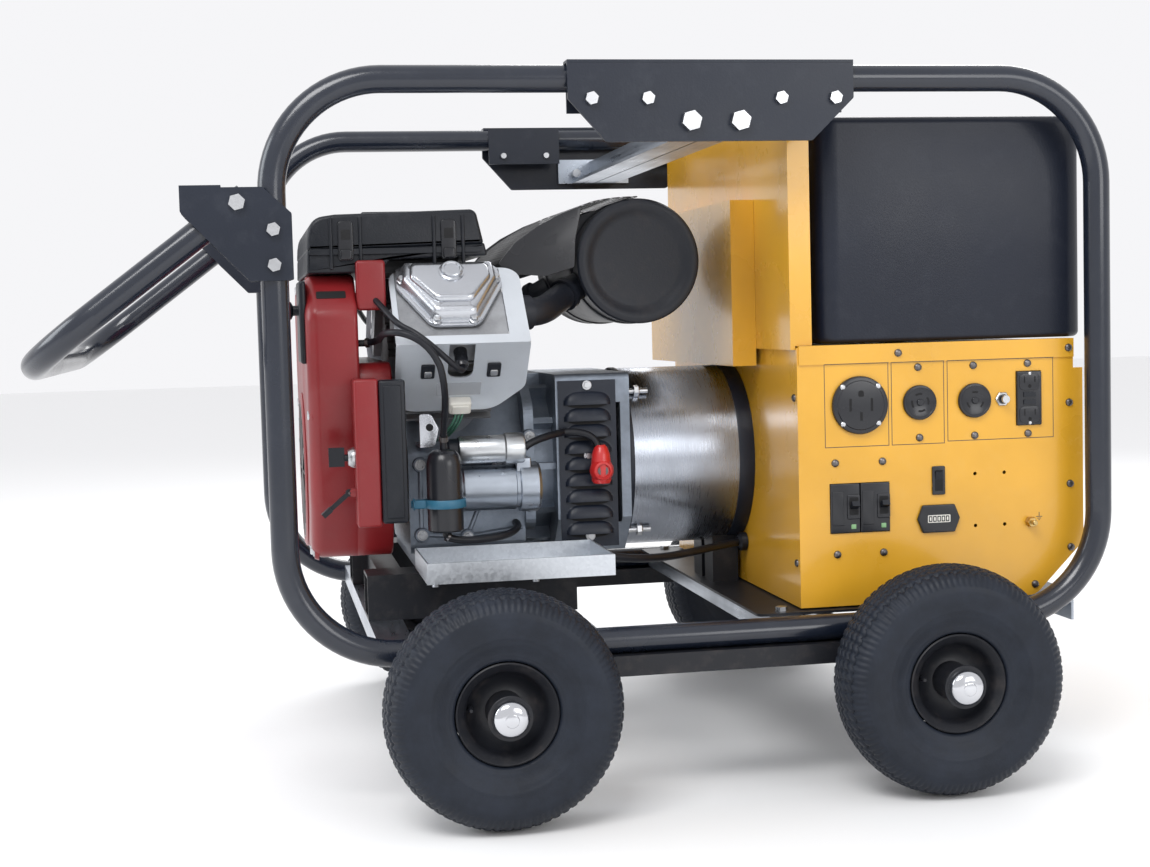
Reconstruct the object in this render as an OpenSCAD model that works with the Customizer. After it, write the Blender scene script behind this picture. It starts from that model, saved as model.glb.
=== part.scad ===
// Engine driven generator and welder power unit on a four wheeled tube cart.
// Millimetres, +Z up, floor at z = 0, +X towards the control box, -Y is the operator's side.

/* [Frame] */
// Outside diameter of the frame tube
tube_d = 30; // [28:0.5:32]
// Wall of the frame tube
tube_wall = 2.5; // [2:0.5:4]
// Length of each frame loop, centre to centre of the tube
loop_len = 950; // [940:1:960]
// Height of each frame loop, centre to centre of the tube
loop_h = 625; // [620:1:640]
// Height of the bottom rail's centre above the floor
rail_z = 182; // [180:1:186]
// Distance between the planes of the two loops
loop_gap = 656; // [650:1:670]
// Bend radius of the loop corners at the tube's centre
bend_r = 120; // [100:1:130]

/* [Wheels] */
// Diameter of the pneumatic tyres
tyre_d = 260; // [250:1:262]
// Width of the tyres
tyre_w = 85; // [75:1:90]
// Distance between the two axles
wheel_base = 504; // [490:1:520]
// Distance between the middles of the left and right tyres
track = 810; // [804:1:830]
// Diameter of the axles
axle_d = 19; // [16:0.5:20]

/* [Handle] */
// Reach from the pivot to the middle of the cross tube
handle_reach = 280; // [240:1:320]
// Angle at which the lowered handle rests below the horizontal
handle_drop = 37; // [30:0.5:38]
// Bend radius of the handle's corners
handle_bend_r = 90; // [70:1:110]
// Diameter of the pivot bolts
pivot_d = 10; // [8:0.5:12]

/* [Control box] */
// Left face of the yellow box
box_x0 = 118; // [112:1:124]
// Right face of the yellow box
box_x1 = 474; // [465:1:480]
// Distance of the front and back faces from the middle
box_y = 290; // [280:1:296]
// Floor of the box
box_z0 = 199; // [198:1:202]
// Top of the box
box_z1 = 503; // [500:1:506]
// Thickness of the painted sheet
sheet_t = 2; // [1.5:0.5:3]

/* [Fuel tank] */
// Height of the tank
tank_h = 262; // [240:1:270]
// Radius of the tank's upright edges
tank_r = 24; // [15:1:40]

/* [Engine and alternator] */
// Height of the crankshaft above the floor
crank_z = 363; // [360:1:366]
// Outside radius of the alternator shell
alt_r = 115; // [110:1:116]
// Outside radius of the muffler
muffler_r = 76; // [70:1:78]

/* [Hidden] */
$fn = 64;

tube_r = tube_d / 2;
half_len = loop_len / 2;
half_gap = loop_gap / 2;
top_z = rail_z + loop_h;
wheel_r = tyre_d / 2;
axle_x = wheel_base / 2;
wheel_y = track / 2;
axle_r = axle_d / 2;
axle_end_y = wheel_y + 54;

pivot_x = -half_len - 37;
pivot_z = 676;
plate_t = 4;
plate_gap = tube_r + 0.5;
handle_tip_x = pivot_x - handle_reach * cos(handle_drop) - tube_r;
frame_end_x = half_len + tube_r;
x_shift = -(handle_tip_x + frame_end_x) / 2;

lift_t = 5;
lift_y = half_gap + tube_r + 0.5;
lift_bolt_z = top_z - 24;
big_bolt_z = top_z - 49;
small_bolts = [-128, -65, 87, 150];
big_bolts = [-17, 39];

panel_t = 2;
panel_y = -box_y;
panel_face = panel_y - panel_t;
tank_x0 = 149;
tank_x1 = 479;
tank_z0 = box_z1 + 4;

eng_x0 = -320;
eng_x1 = -178;
cyl_x = -272;
head_rho = 246;
cover_rho = 290;
fan_x0 = -440;
alt_x0 = -44;
alt_x1 = 150;
muffler_x = -34;
muffler_z = 612;
crank_journal_r = 20;
running_gap = 0.05;

tray_x0 = -318;
tray_x1 = -102;
tray_y0 = -290;
tray_y1 = -148;
tray_z = 250;

// ---------------------------------------------------------------- helpers
module box(lo, hi) { translate(lo) cube(hi - lo); }
module rod_x(x0, x1, r) { translate([x0, 0, 0]) rotate([0, 90, 0]) cylinder(h = x1 - x0, r = r); }
module rod_y(y0, y1, r) { translate([0, y0, 0]) rotate([-90, 0, 0]) cylinder(h = y1 - y0, r = r); }
// outline in X and Z, thickness along Y
module plate_xz(pts, y0, y1) {
  translate([0, y1, 0]) rotate([90, 0, 0]) linear_extrude(y1 - y0) polygon(pts);
}
// outline in Y and Z, thickness along X
module plate_yz(pts, x0, x1) {
  translate([x0, 0, 0]) rotate([90, 0, 90]) linear_extrude(x1 - x0) polygon(pts);
}
// outline in X and Y, thickness along Z
module plate_xy(pts, z0, z1) { translate([0, 0, z0]) linear_extrude(z1 - z0) polygon(pts); }
// the operator's side and its mirror image
module both_sides() { children(); mirror([0, 1, 0]) children(); }
module hex_head(r, h) { cylinder(h = h, r = r, $fn = 6); }
// hex bolt whose head bears on y and whose shank points along +Y
module hex_bolt(x, y, z, head_r, head_h, shank_r, shank_len) {
  translate([x, y, z]) rotate([90, 0, 0]) rotate([0, 0, 15]) hex_head(head_r, head_h);
  translate([x, 0, z]) rod_y(y, y + shank_len, shank_r);
}
function unit(v) = v / norm(v);
// points of an arc of radius r that rounds the corner p-c-q
function arc_at(p, c, q, r, n) =
  let(a = unit(p - c), b = unit(q - c), h = acos(a * b) / 2, s = c + a * r / tan(h),
      m = c + unit(a + b) * r / sin(h), e = c + b * r / tan(h),
      a0 = atan2(s[1] - m[1], s[0] - m[0]), a1 = atan2(e[1] - m[1], e[0] - m[0]),
      d = ((a1 - a0 + 540) % 360) - 180)
  [for (i = [0 : n]) m + r * [cos(a0 + d * i / n), sin(a0 + d * i / n)]];
function xy(p) = [p[0], p[1]];
// outline with corners [x, y, radius]
function rounded(pts, n = 6) = let(k = len(pts))
  [for (i = [0 : k - 1]) each (pts[i][2] == 0 ? [xy(pts[i])] :
    arc_at(xy(pts[(i + k - 1) % k]), xy(pts[i]), xy(pts[(i + 1) % k]), pts[i][2], n))];
function rect(x0, y0, x1, y1, r) = [[x0, y0, r], [x1, y0, r], [x1, y1, r], [x0, y1, r]];

// sweeps an n sided tube along hand placed points
function tangent(p, i) = unit(p[min(i + 1, len(p) - 1)] - p[max(i - 1, 0)]);
function side(t) = unit(cross(t, abs(t[2]) < 0.9 ? [0, 0, 1] : [1, 0, 0]));
module cable(p, r, n = 8) {
  k = len(p);
  pts = [for (i = [0 : k - 1]) let(t = tangent(p, i), a = side(t), b = cross(t, a))
    for (j = [0 : n - 1]) p[i] + r * (a * cos(360 * j / n) + b * sin(360 * j / n))];
  faces = concat(
    [for (i = [0 : k - 2], j = [0 : n - 1])
      let(a = i * n + j, b = i * n + (j + 1) % n) [a + n, b + n, b, a]],
    [[for (j = [0 : n - 1]) j]], [[for (j = [n - 1 : -1 : 0]) (k - 1) * n + j]]);
  polyhedron(points = pts, faces = faces, convexity = 6);
}
function bez(a, b, c, d, t) =
  a * pow(1 - t, 3) + b * 3 * t * pow(1 - t, 2) + c * 3 * t * t * (1 - t) + d * pow(t, 3);
function curve(a, b, c, d, n) = [for (i = [0 : n]) bez(a, b, c, d, i / n)];
// one quarter bend of tube in the X-Z plane: centre c, from angle a to a + 90
module tube_bend(c, a, r, bend) {
  translate(c) rotate([90, 0, 0]) rotate([0, 0, a])
    rotate_extrude(angle = 90) translate([bend, 0]) circle(r);
}
module loop_solid(r) {
  ex = half_len - bend_r;
  z0 = rail_z + bend_r;
  z1 = top_z - bend_r;
  for (z = [rail_z, top_z]) translate([0, 0, z]) rod_x(-ex, ex, r);
  for (x = [-half_len, half_len]) translate([x, 0, z0]) cylinder(h = z1 - z0, r = r);
  tube_bend([ex, 0, z1], 0, r, bend_r);
  tube_bend([-ex, 0, z1], 90, r, bend_r);
  tube_bend([-ex, 0, z0], 180, r, bend_r);
  tube_bend([ex, 0, z0], 270, r, bend_r);
}
module loop_tube() {
  color([0.16, 0.17, 0.2]) difference() { loop_solid(tube_r); loop_solid(tube_r - tube_wall); }
}
module front_loop() { translate([0, -half_gap, 0]) loop_tube(); }
module rear_loop() { translate([0, half_gap, 0]) loop_tube(); }

// ---------------------------------------------------------------- base
cross_w = 40;
cross_t = 3;
cross_x = [-358, -150, 95, 430];
cross_z0 = rail_z - 12;
cross_z1 = rail_z + 12;
floor_bolt_y = [-half_gap + 40, half_gap - 40];
module cross_members() {
  color([0.45, 0.48, 0.52]) for (x = cross_x) translate([x, 0, 0]) difference() {
    box([-cross_w / 2, -half_gap + tube_r, cross_z0], [cross_w / 2, half_gap - tube_r, cross_z1]);
    box([-cross_w / 2 + cross_t, -half_gap, cross_z0 - 1],
      [cross_w / 2 - cross_t, half_gap, cross_z1 - cross_t]);
    // holes for the floor sheet's bolts
    if (x == cross_x[2]) for (y = floor_bolt_y) translate([0, y, 0]) cylinder(h = 300, r = 4.3);
  }
}
base_x0 = -378;
base_x1 = -127;
base_h = 248;
module engine_base() {
  color([0.13, 0.13, 0.15]) {
    for (s = [-1, 1]) difference() {
      box([base_x0, s * 150 - 30, cross_z1], [base_x1, s * 150 + 30, base_h]);
      box([base_x0 - 1, s * 150 - 26, cross_z1 + 4], [base_x1 + 1, s * 150 + 26, base_h - 4]);
    }
    for (x = [base_x0 + 20, base_x1 - 50]) box([x, -120, cross_z1 + 10], [x + 30, 120, cross_z1 + 44]);
  }
}
module base_plate() {
  plate_x0 = 62;
  plate_h = 3;
  color([0.14, 0.14, 0.16]) {
    difference() {
      plate_xy(rounded([[plate_x0, -box_y - 14, 8], [box_x1, -box_y - 14, 60], [box_x1, box_y + 14, 60],
        [plate_x0, box_y + 14, 8]]), cross_z1, cross_z1 + plate_h);
      for (y = floor_bolt_y) translate([cross_x[2], y, 0]) cylinder(h = 300, r = 4.3);
    }
    // feet under the alternator's far end
    for (s = [-1, 1]) difference() {
      box([78, s * 28 - 20, cross_z1 + plate_h], [112, s * 28 + 20, crank_z - 60]);
      translate([0, 0, crank_z]) rod_x(0, 200, alt_r + 0.3);
    }
  }
}
// a channel under each bottom rail with the axle plates welded inside it
module wheel_rails() {
  z1 = rail_z - tube_r;
  color([0.13, 0.13, 0.15]) for (s = [-1, 1]) difference() {
    union() {
      difference() {
        box([-330, s * half_gap - 20, z1 - 23], [330, s * half_gap + 20, z1]);
        box([-331, s * half_gap - 17, z1 - 24], [331, s * half_gap + 17, z1 - 3]);
      }
      for (x = [-axle_x, axle_x], side = [-15, 15])
        plate_xz([[x - 34, z1 - 2], [x - 20, 112], [x + 20, 112], [x + 34, z1 - 2]],
          s * half_gap + side - 2.2, s * half_gap + side + 2.2);
    }
    for (x = [-axle_x, axle_x]) translate([x, 0, wheel_r]) rod_y(-400, 400, axle_r + running_gap);
  }
}
module axles() {
  color([0.6, 0.62, 0.64]) for (x = [-axle_x, axle_x]) translate([x, 0, wheel_r])
    rod_y(-axle_end_y, axle_end_y, axle_r);
}
module axle_caps() {
  cap_r = 20;
  color([0.85, 0.86, 0.88]) for (x = [-axle_x, axle_x], s = [-1, 1])
    translate([x, s * (axle_end_y - 8), wheel_r]) rotate([s > 0 ? -90 : 90, 0, 0]) difference() {
      rotate_extrude() polygon([[0, 0], [cap_r + 4, 0], [cap_r + 4, 3], [cap_r, 4], [cap_r - 2, 9],
        [cap_r - 7, 13.5], [cap_r - 13, 15.6], [0, 16]]);
      translate([0, 0, -1]) cylinder(h = 9, r = axle_r);
    }
}

// ---------------------------------------------------------------- wheels
tread_r = wheel_r;
bead_r = 56;
// half section of the tyre: [radius, distance from the middle]
tyre_half = [[bead_r, 26], [66, 33], [82, 39.5], [98, 42.5], [110, 41.5], [119, 36], [125, 28],
  [128.5, 15], [tread_r, 0]];
tyre_inner = [[bead_r, 21], [66, 27], [82, 33.5], [98, 36.5], [108, 35], [116, 29], [120, 20], [122, 0]];
function both(pts) = concat(pts, [for (i = [len(pts) - 2 : -1 : 0]) [pts[i][0], -pts[i][1]]]);
function back(pts) = [for (i = [len(pts) - 1 : -1 : 0]) pts[i]];
module wheel_at(i) {
  x = (i == 1 || i == 2) ? -axle_x : axle_x;
  s = (i == 1 || i == 3) ? -1 : 1;
  translate([x, s * wheel_y, wheel_r]) rotate([s > 0 ? -90 : 90, 0, 0]) children();
}
module tyre() {
  k = tyre_w / 85;
  color([0.16, 0.16, 0.18]) rotate_extrude()
    polygon([for (p = concat(both(tyre_half), back(both(tyre_inner)))) [p[0], p[1] * k]]);
}
// one piece pressed rim: two flanges, a drum, a web and the hub tube
module rim() {
  hub_r = 21;
  drum_r = 45;
  flange_r = 55.6;
  color([0.13, 0.13, 0.15]) difference() {
    rotate_extrude() polygon([[drum_r - 3, -24], [flange_r - 4, -31], [flange_r, -31], [flange_r, -25],
      [drum_r, -18], [drum_r, 18], [flange_r, 25], [flange_r, 31], [flange_r - 4, 31], [drum_r - 3, 24],
      [drum_r - 3, 12], [30, 4], [hub_r, 4], [hub_r, 40], [axle_r + running_gap, 40],
      [axle_r + running_gap, -40], [hub_r, -40], [hub_r, -4], [30, -4], [drum_r - 3, -12]]);
  }
}
module tyre_1() { wheel_at(1) tyre(); }
module tyre_2() { wheel_at(2) tyre(); }
module tyre_3() { wheel_at(3) tyre(); }
module tyre_4() { wheel_at(4) tyre(); }
module rim_1() { wheel_at(1) rim(); }
module rim_2() { wheel_at(2) rim(); }
module rim_3() { wheel_at(3) rim(); }
module rim_4() { wheel_at(4) rim(); }

// ---------------------------------------------------------------- handle
module handle_solid(r) {
  leg = handle_reach - handle_bend_r;
  half = half_gap - handle_bend_r;
  for (s = [-1, 1]) translate([0, s * half_gap, 0]) rod_x(-leg, 12, r);
  translate([-handle_reach, 0, 0]) rod_y(-half, half, r);
  translate([-leg, -half, 0]) rotate([0, 0, 180])
    rotate_extrude(angle = 90) translate([handle_bend_r, 0]) circle(r);
  translate([-leg, half, 0]) rotate([0, 0, 90])
    rotate_extrude(angle = 90) translate([handle_bend_r, 0]) circle(r);
}
module handle() {
  color([0.16, 0.17, 0.2]) translate([pivot_x, 0, pivot_z]) rotate([0, -handle_drop, 0]) difference() {
    handle_solid(tube_r);
    handle_solid(tube_r - tube_wall);
    rod_y(-400, 400, pivot_d / 2 + running_gap);
  }
}
bracket_pts = [[-571, 692, 0], [-485, 692, 4], [-455, 664, 4], [-455, 593, 4], [-501, 593, 4],
  [-541, 634.5, 0], [-567, 662, 3], [-571, 667, 3]];
clamp_bolts = [647, 609.5];
module handle_brackets() {
  y0 = half_gap - plate_gap - plate_t;
  y1 = half_gap + plate_gap + plate_t;
  color([0.16, 0.17, 0.2]) both_sides() difference() {
    union() {
      plate_xz(rounded(bracket_pts, 4), -y1, -y1 + plate_t);
      plate_xz(rounded(bracket_pts, 4), -y0 - plate_t, -y0);
      // folded upper stop
      box([-571, -y1, pivot_z + tube_r + 0.4], [-528, -y0, pivot_z + tube_r + 3.4]);
      // edge folded round the upright tube
      box([-half_len + tube_r + 0.4, -y1, 594], [-455, -y0, 662]);
      // folded lower stop under the legs
      translate([pivot_x, 0, pivot_z]) rotate([0, -handle_drop, 0])
        box([-47, -y1, -tube_r - 3.9], [-20, -y0, -tube_r - 0.4]);
    }
    translate([pivot_x, 0, pivot_z]) rod_y(-400, 0, pivot_d / 2 + running_gap);
    for (z = clamp_bolts) translate([-half_len, 0, z]) rod_y(-400, 0, 4.1);
  }
}
module frame_bolts() {
  y1 = half_gap + plate_gap + plate_t;
  color([0.8, 0.82, 0.85]) both_sides() {
    hex_bolt(pivot_x, -y1, pivot_z, 9, 6.5, pivot_d / 2, 2 * (plate_gap + plate_t) + 4);
    for (x = small_bolts)
      hex_bolt(x, -lift_y - lift_t, lift_bolt_z, 7.5, 5.5, 4, 44);
    for (x = big_bolts) hex_bolt(x, -lift_y - lift_t, big_bolt_z, 11.5, 8, 6, 26);
    // clamp bolts sit either side of the upright tube
    for (z = clamp_bolts) hex_bolt(-half_len, -y1, z, 7.5, 5.5, 4, plate_t + 0.4);
    // the floor sheet's bolts
    translate([cross_x[2], -half_gap + 40, cross_z1 + 3.1]) hex_head(7, 5);
    translate([cross_x[2], -half_gap + 40, cross_z1 - 2]) cylinder(h = 6, r = 4);
  }
}

// ---------------------------------------------------------------- lifting gear
lift_pts = [[-154, top_z + 15, 0], [-154, top_z - 24, 3], [-112, top_z - 71, 4], [123, top_z - 71, 4],
  [172, top_z - 24, 3], [172, top_z + 15, 0]];
module lift_plates() {
  color([0.18, 0.19, 0.23]) both_sides() difference() {
    union() {
      plate_xz(rounded(lift_pts, 4), -lift_y - lift_t, -lift_y);
      // lip folded over the rail
      box([-154, -lift_y - lift_t, top_z + tube_r + 0.2], [172, -lift_y + 18, top_z + tube_r + 3.2]);
    }
    for (x = small_bolts) translate([x, 0, lift_bolt_z]) rod_y(-400, 0, 4.1);
    for (x = big_bolts) translate([x, 0, big_bolt_z]) rod_y(-400, 0, 6.1);
  }
}
module lift_clamps() {
  color([0.16, 0.17, 0.2]) both_sides() for (x = [-149, 66]) difference() {
    box([x, -half_gap + tube_r + 0.3, top_z - 36], [x + 104, -half_gap + tube_r + 3.3, top_z + 14]);
    for (bx = small_bolts) translate([bx, 0, lift_bolt_z]) rod_y(-400, 0, 4.1);
  }
}
module lift_bar() {
  end_y = lift_y - 0.1;
  end_t = 6;
  bar_z = 744;
  leg = 32;
  t = 4;
  mid = 11;
  color([0.5, 0.55, 0.62]) difference() {
    union() {
      both_sides() box([-42, -end_y, bar_z], [64, -end_y + end_t, top_z - tube_r - 13]);
      for (s = [-1, 1]) translate([mid, 0, 0]) {
        box([s > 0 ? 1 : -leg - 1, -end_y + end_t, bar_z],
          [s > 0 ? leg + 1 : -1, end_y - end_t, bar_z + t]);
        box([s > 0 ? 1 : -t - 1, -end_y + end_t, bar_z],
          [s > 0 ? t + 1 : -1, end_y - end_t, bar_z + leg]);
      }
    }
    for (x = big_bolts) translate([x, 0, big_bolt_z]) rod_y(-400, 400, 6.1);
  }
}

// ---------------------------------------------------------------- control box and panel
panel_top = box_z1 + 2.3;
lip_t = 2;
// devices: centres on the panel as [x, z]
outlet_50 = [193, 434.5];
outlet_30 = [267, 435];
outlet_20 = [335.5, 435];
duplex_at = [404.5, 435.5];
push_at = [371, 435.5];
breaker_at = [192, 314];
// middles of the two toggles, from the middle of the breaker pair
breaker_u = [-8.5, 28.5];
rocker_at = [289.5, 342];
meter_at = [288.5, 297];
stud_at = [405, 287.5];
accessory = [[336, 348], [373, 348], [336, 286], [373, 286]];
box_pts = [[box_x0, box_z0, 0], [box_x1 - 62, box_z0, 20], [box_x1, box_z0 + 62, 20], [box_x1, 470, 0],
  [box_x1 - 12, 470, 0], [box_x1 - 12, box_z1, 0], [box_x0, box_z1, 0]];
function inset_box(t) = [[box_x0 + t, box_z0 + t, 0], [box_x1 - 62 - t / 2, box_z0 + t, 20],
  [box_x1 - t, box_z0 + 62 + t / 2, 20], [box_x1 - t, 470 - t, 0], [box_x1 - 12 - t, 470 - t, 0],
  [box_x1 - 12 - t, box_z1 - t, 0], [box_x0 + t, box_z1 - t, 0]];
module control_box() {
  color([0.93, 0.72, 0.22]) difference() {
    plate_xz(rounded(box_pts), -box_y, box_y);
    plate_xz(rounded(inset_box(sheet_t)), -box_y - 1, box_y - sheet_t);
    translate([0, 0, crank_z]) rod_x(box_x0 - 5, box_x0 + 5, alt_r + 1);
  }
}
module at_panel(p) { translate([p[0], panel_face, p[1]]) rotate([90, 0, 0]) children(); }
module panel_hole(p, r) { translate([p[0], 0, p[1]]) rod_y(panel_face - 5, panel_y + 5, r); }
module panel_window(p, w, h) {
  box([p[0] - w, panel_face - 5, p[1] - h], [p[0] + w, panel_y + 5, p[1] + h]);
}
module control_panel() {
  color([0.95, 0.76, 0.27]) difference() {
    union() {
      plate_xz(rounded(box_pts), panel_face, panel_y - 0.1);
      // folded lip over the top edge
      box([box_x0 + 2, panel_face - lip_t, box_z1 - 20], [box_x1 - 12, panel_face, panel_top]);
      box([box_x0 + 2, panel_face - lip_t, box_z1 + 0.3], [box_x1 - 12, panel_y + 20, panel_top]);
    }
    panel_hole(outlet_50, 27);
    panel_hole(outlet_30, 17);
    panel_hole(outlet_20, 17);
    panel_hole(push_at, 6);
    panel_hole(stud_at, 3.1);
    for (p = accessory) panel_hole(p, 2.2);
    panel_window(duplex_at, 16, 32.5);
    panel_window(breaker_at, 36.8, 29.5);
    panel_window(rocker_at, 6, 14);
    panel_window(meter_at, 18, 13);
  }
}
panel_screw_at = [[266, 476.5], [267, 393.5], [335, 476.5], [336, 393.5], [403.5, 477],
  [403.5, 393.5], [456.5, 428.5], [457, 331], [457.5, 254.5], [411, 212], [162.5, 367.5],
  [220.5, 367.5], [163.5, 260], [220.5, 260]];
lip_screw_at = [[241, 494], [455, 494]];
side_screw_at = [[-281, 445], [-281, 251]];
module screw_head(r) {
  rotate_extrude() polygon([[0, 0], [r, 0], [r * 0.9, r * 0.4], [r * 0.55, r * 0.62], [0, r * 0.7]]);
}
module panel_screws() {
  color([0.2, 0.18, 0.17]) {
    for (p = panel_screw_at) at_panel(p) translate([0, 0, 0.1]) screw_head(4.6);
    for (p = lip_screw_at) at_panel(p) translate([0, 0, lip_t + 0.1]) screw_head(4.6);
    for (p = side_screw_at) translate([box_x0 - 0.1, p[0], p[1]]) rotate([0, -90, 0]) screw_head(4.6);
  }
}
// round locking outlet: flanged body with curved slots
module locking_outlet(p, r, face_h) {
  at_panel(p) translate([0, 0, 0.2]) difference() {
    union() { cylinder(h = face_h, r = r); translate([0, 0, -26]) cylinder(h = 26, r = r * 0.78); }
    for (a = [30, 150, 270]) rotate([0, 0, a]) translate([r * 0.5, -4, face_h - 3]) cube([2, 8, 4]);
  }
}
module panel_devices() {
  color([0.14, 0.14, 0.16]) {
    locking_outlet(outlet_50, 34, 7);
    locking_outlet(outlet_30, 20.5, 5);
    locking_outlet(outlet_20, 20.5, 5);
    // duplex outlet face with two sockets and room for its two buttons
    at_panel(duplex_at) difference() {
      translate([-15.5, -32, -24]) cube([31, 64, 27.5]);
      for (v = [-20, 20], u = [-5, 4]) translate([u, v - 4, 0]) cube([1.4, 8, 4]);
      for (v = [-4.5, 4.5]) translate([-8, v - 3.2, -4]) cube([16, 6.4, 10]);
    }
    // two double pole breakers with a slot for each toggle
    at_panel(breaker_at) difference() {
      translate([-36.4, -29, -40]) cube([72.8, 58, 42]);
      for (u = breaker_u) translate([u - 6.5, -9, -10]) cube([13, 22, 20]);
    }
    // rocker switch bezel
    at_panel(rocker_at) difference() {
      union() {
        translate([-8, -17, 0.2]) cube([16, 34, 2.3]);
        translate([-5.7, -13.7, -20]) cube([11.4, 27.4, 21]);
      }
      translate([-4.9, -12.4, -7]) cube([9.8, 24.8, 20]);
    }
    // hour meter with pointed ends
    at_panel(meter_at) difference() {
      union() {
        translate([0, 0, 0.2]) linear_extrude(4)
          polygon([[-26.5, 0], [-20, 16.5], [20, 16.5], [26.5, 0], [20, -16.5], [-20, -16.5]]);
        translate([-17.5, -12.5, -24]) cube([35, 25, 25]);
      }
      translate([-14, -5, 3.4]) cube([28, 9, 2]);
      for (u = [-22, 22]) translate([u, 0, 3]) cylinder(h = 2, r = 1.6);
    }
    // bushing of the push-to-reset breaker
    at_panel(push_at) translate([0, 0, -14]) difference() {
      union() { cylinder(h = 19, r = 5.8); translate([0, 0, 14.2]) cylinder(h = 3, r = 9, $fn = 6); }
      translate([0, 0, 8]) cylinder(h = 12, r = 3.4);
    }
    // earth stud
    at_panel(stud_at) translate([0, 0, -10]) union() {
      cylinder(h = 26, r = 3);
      translate([0, 0, 10.2]) cylinder(h = 4, r = 6.5, $fn = 6);
    }
  }
}
module duplex_button(v) { at_panel(duplex_at) translate([-7.6, v - 2.8, -2.6]) cube([15.2, 5.6, 7.4]); }
module test_button() { color([0.1, 0.1, 0.11]) duplex_button(4.5); }
module reset_button() { color([0.1, 0.1, 0.11]) duplex_button(-4.5); }
// toggle: a short axle with a stub that leans up at rest
module breaker_toggle(u) {
  color([0.08, 0.08, 0.09]) at_panel(breaker_at) translate([u, 0, -2]) {
    rotate([0, 90, 0]) translate([0, 0, -5.8]) cylinder(h = 11.6, r = 5);
    rotate([-25, 0, 0]) translate([-4.5, -3, 0]) cube([9, 6, 15]);
  }
}
module breaker_lever_1() { breaker_toggle(breaker_u[0]); }
module breaker_lever_2() { breaker_toggle(breaker_u[1]); }
module rocker() {
  color([0.1, 0.1, 0.11]) at_panel(rocker_at) rotate([90, 0, 90]) union() {
    translate([0, 0, -4.6]) linear_extrude(9.2)
      polygon([[-10.8, 1.6], [-10.8, -1.5], [0, -5], [10.8, -1.5], [10.8, 5.2], [0, 2.4]]);
    // pivot pins
    translate([0, -1, -4.85]) cylinder(h = 9.7, r = 1.2);
  }
}
module push_reset() {
  color([0.8, 0.8, 0.82]) at_panel(push_at) translate([0, 0, -2]) union() {
    cylinder(h = 11, r = 3.3);
    translate([0, 0, 11]) cylinder(h = 3.5, r = 4.6);
  }
}
module heat_shield() {
  x0 = box_x0 - 6;
  y = box_y - 2;
  z1 = tank_z0 + tank_h;
  color([0.9, 0.66, 0.2]) difference() {
    box([x0, -y, box_z1 - 2], [x0 + 26, y, z1]);
    box([x0 + sheet_t, -y + sheet_t, box_z1 - 3], [x0 + 27, y - sheet_t, z1 - sheet_t]);
    box([box_x0 - 0.2, -400, 0], [400, 400, panel_top + 0.3]);
  }
}
module shield_pan() {
  x1 = box_x0 - 6.2;
  x0 = 82;
  color([0.92, 0.7, 0.22]) difference() {
    box([x0, -150, 480], [x1, 284, 684]);
    box([x0 + sheet_t, -150 + sheet_t, 480 + sheet_t], [x1 + 1, 284 - sheet_t, 684 - sheet_t]);
  }
}

// ---------------------------------------------------------------- fuel tank
module tank_body(inset) {
  outline = rect(tank_x0 + inset, -box_y + inset, tank_x1 - inset, box_y - inset, tank_r - inset);
  plate_xy(rounded(outline, 8), tank_z0 + inset, tank_z0 + tank_h - inset);
}
cap_at = [300, 0];
module fuel_tank() {
  neck_r = 24;
  top = tank_z0 + tank_h;
  color([0.17, 0.19, 0.23]) difference() {
    union() { tank_body(0); translate([cap_at[0], cap_at[1], top - 1]) cylinder(h = 12, r = neck_r); }
    tank_body(3);
    translate([cap_at[0], cap_at[1], top - 10]) cylinder(h = 40, r = neck_r - 3);
  }
}
module fuel_cap() {
  top = tank_z0 + tank_h;
  color([0.1, 0.1, 0.11]) translate([cap_at[0], cap_at[1], top + 0.5]) difference() {
    union() {
      cylinder(h = 18, r = 31);
      for (a = [0 : 30 : 330]) rotate([0, 0, a]) translate([31, 0, 0]) cylinder(h = 18, r = 3);
    }
    translate([0, 0, -1]) cylinder(h = 13, r = 24.4);
  }
}

// ---------------------------------------------------------------- alternator
module on_crank() { translate([0, 0, crank_z]) children(); }
module ring_x(x0, x1, r_out, r_in) { difference() { rod_x(x0, x1, r_out); rod_x(x0 - 1, x1 + 1, r_in); } }
module alternator_shell() {
  color([0.66, 0.69, 0.73]) on_crank() union() {
    ring_x(alt_x0, 130, alt_r, alt_r - 5);
    // end bell with the bearing seat
    difference() {
      rod_x(130, alt_x1, alt_r);
      rod_x(129, alt_x1 - 8, alt_r - 5);
      rod_x(129, alt_x1 + 1, 26);
    }
    difference() { rod_x(alt_x1 - 18, alt_x1, 34); rod_x(alt_x1 - 19, alt_x1 + 1, 26); }
  }
}
module alternator_stator() {
  color([0.5, 0.32, 0.2]) on_crank() union() {
    ring_x(-6, 96, alt_r - 5.1, 66);
    ring_x(-26, -6, 98, 72);
    ring_x(96, 116, 98, 72);
  }
}
module alternator_rotor() {
  color([0.45, 0.45, 0.47]) on_crank() union() {
    rod_x(-8, 98, 62);
    rod_x(-178, alt_x1 - 18, 18);
    rod_x(alt_x1 - 18, alt_x1, 25.95);
    // cooling fan behind the adapter's side vents
    rod_x(-110, -104, 88);
    for (a = [0 : 40 : 320]) rotate([a, 0, 0]) box([-105, 40, -2], [-80, 86, 2]);
  }
}
adapter_x0 = -137;
adapter_y = 122;
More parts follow.
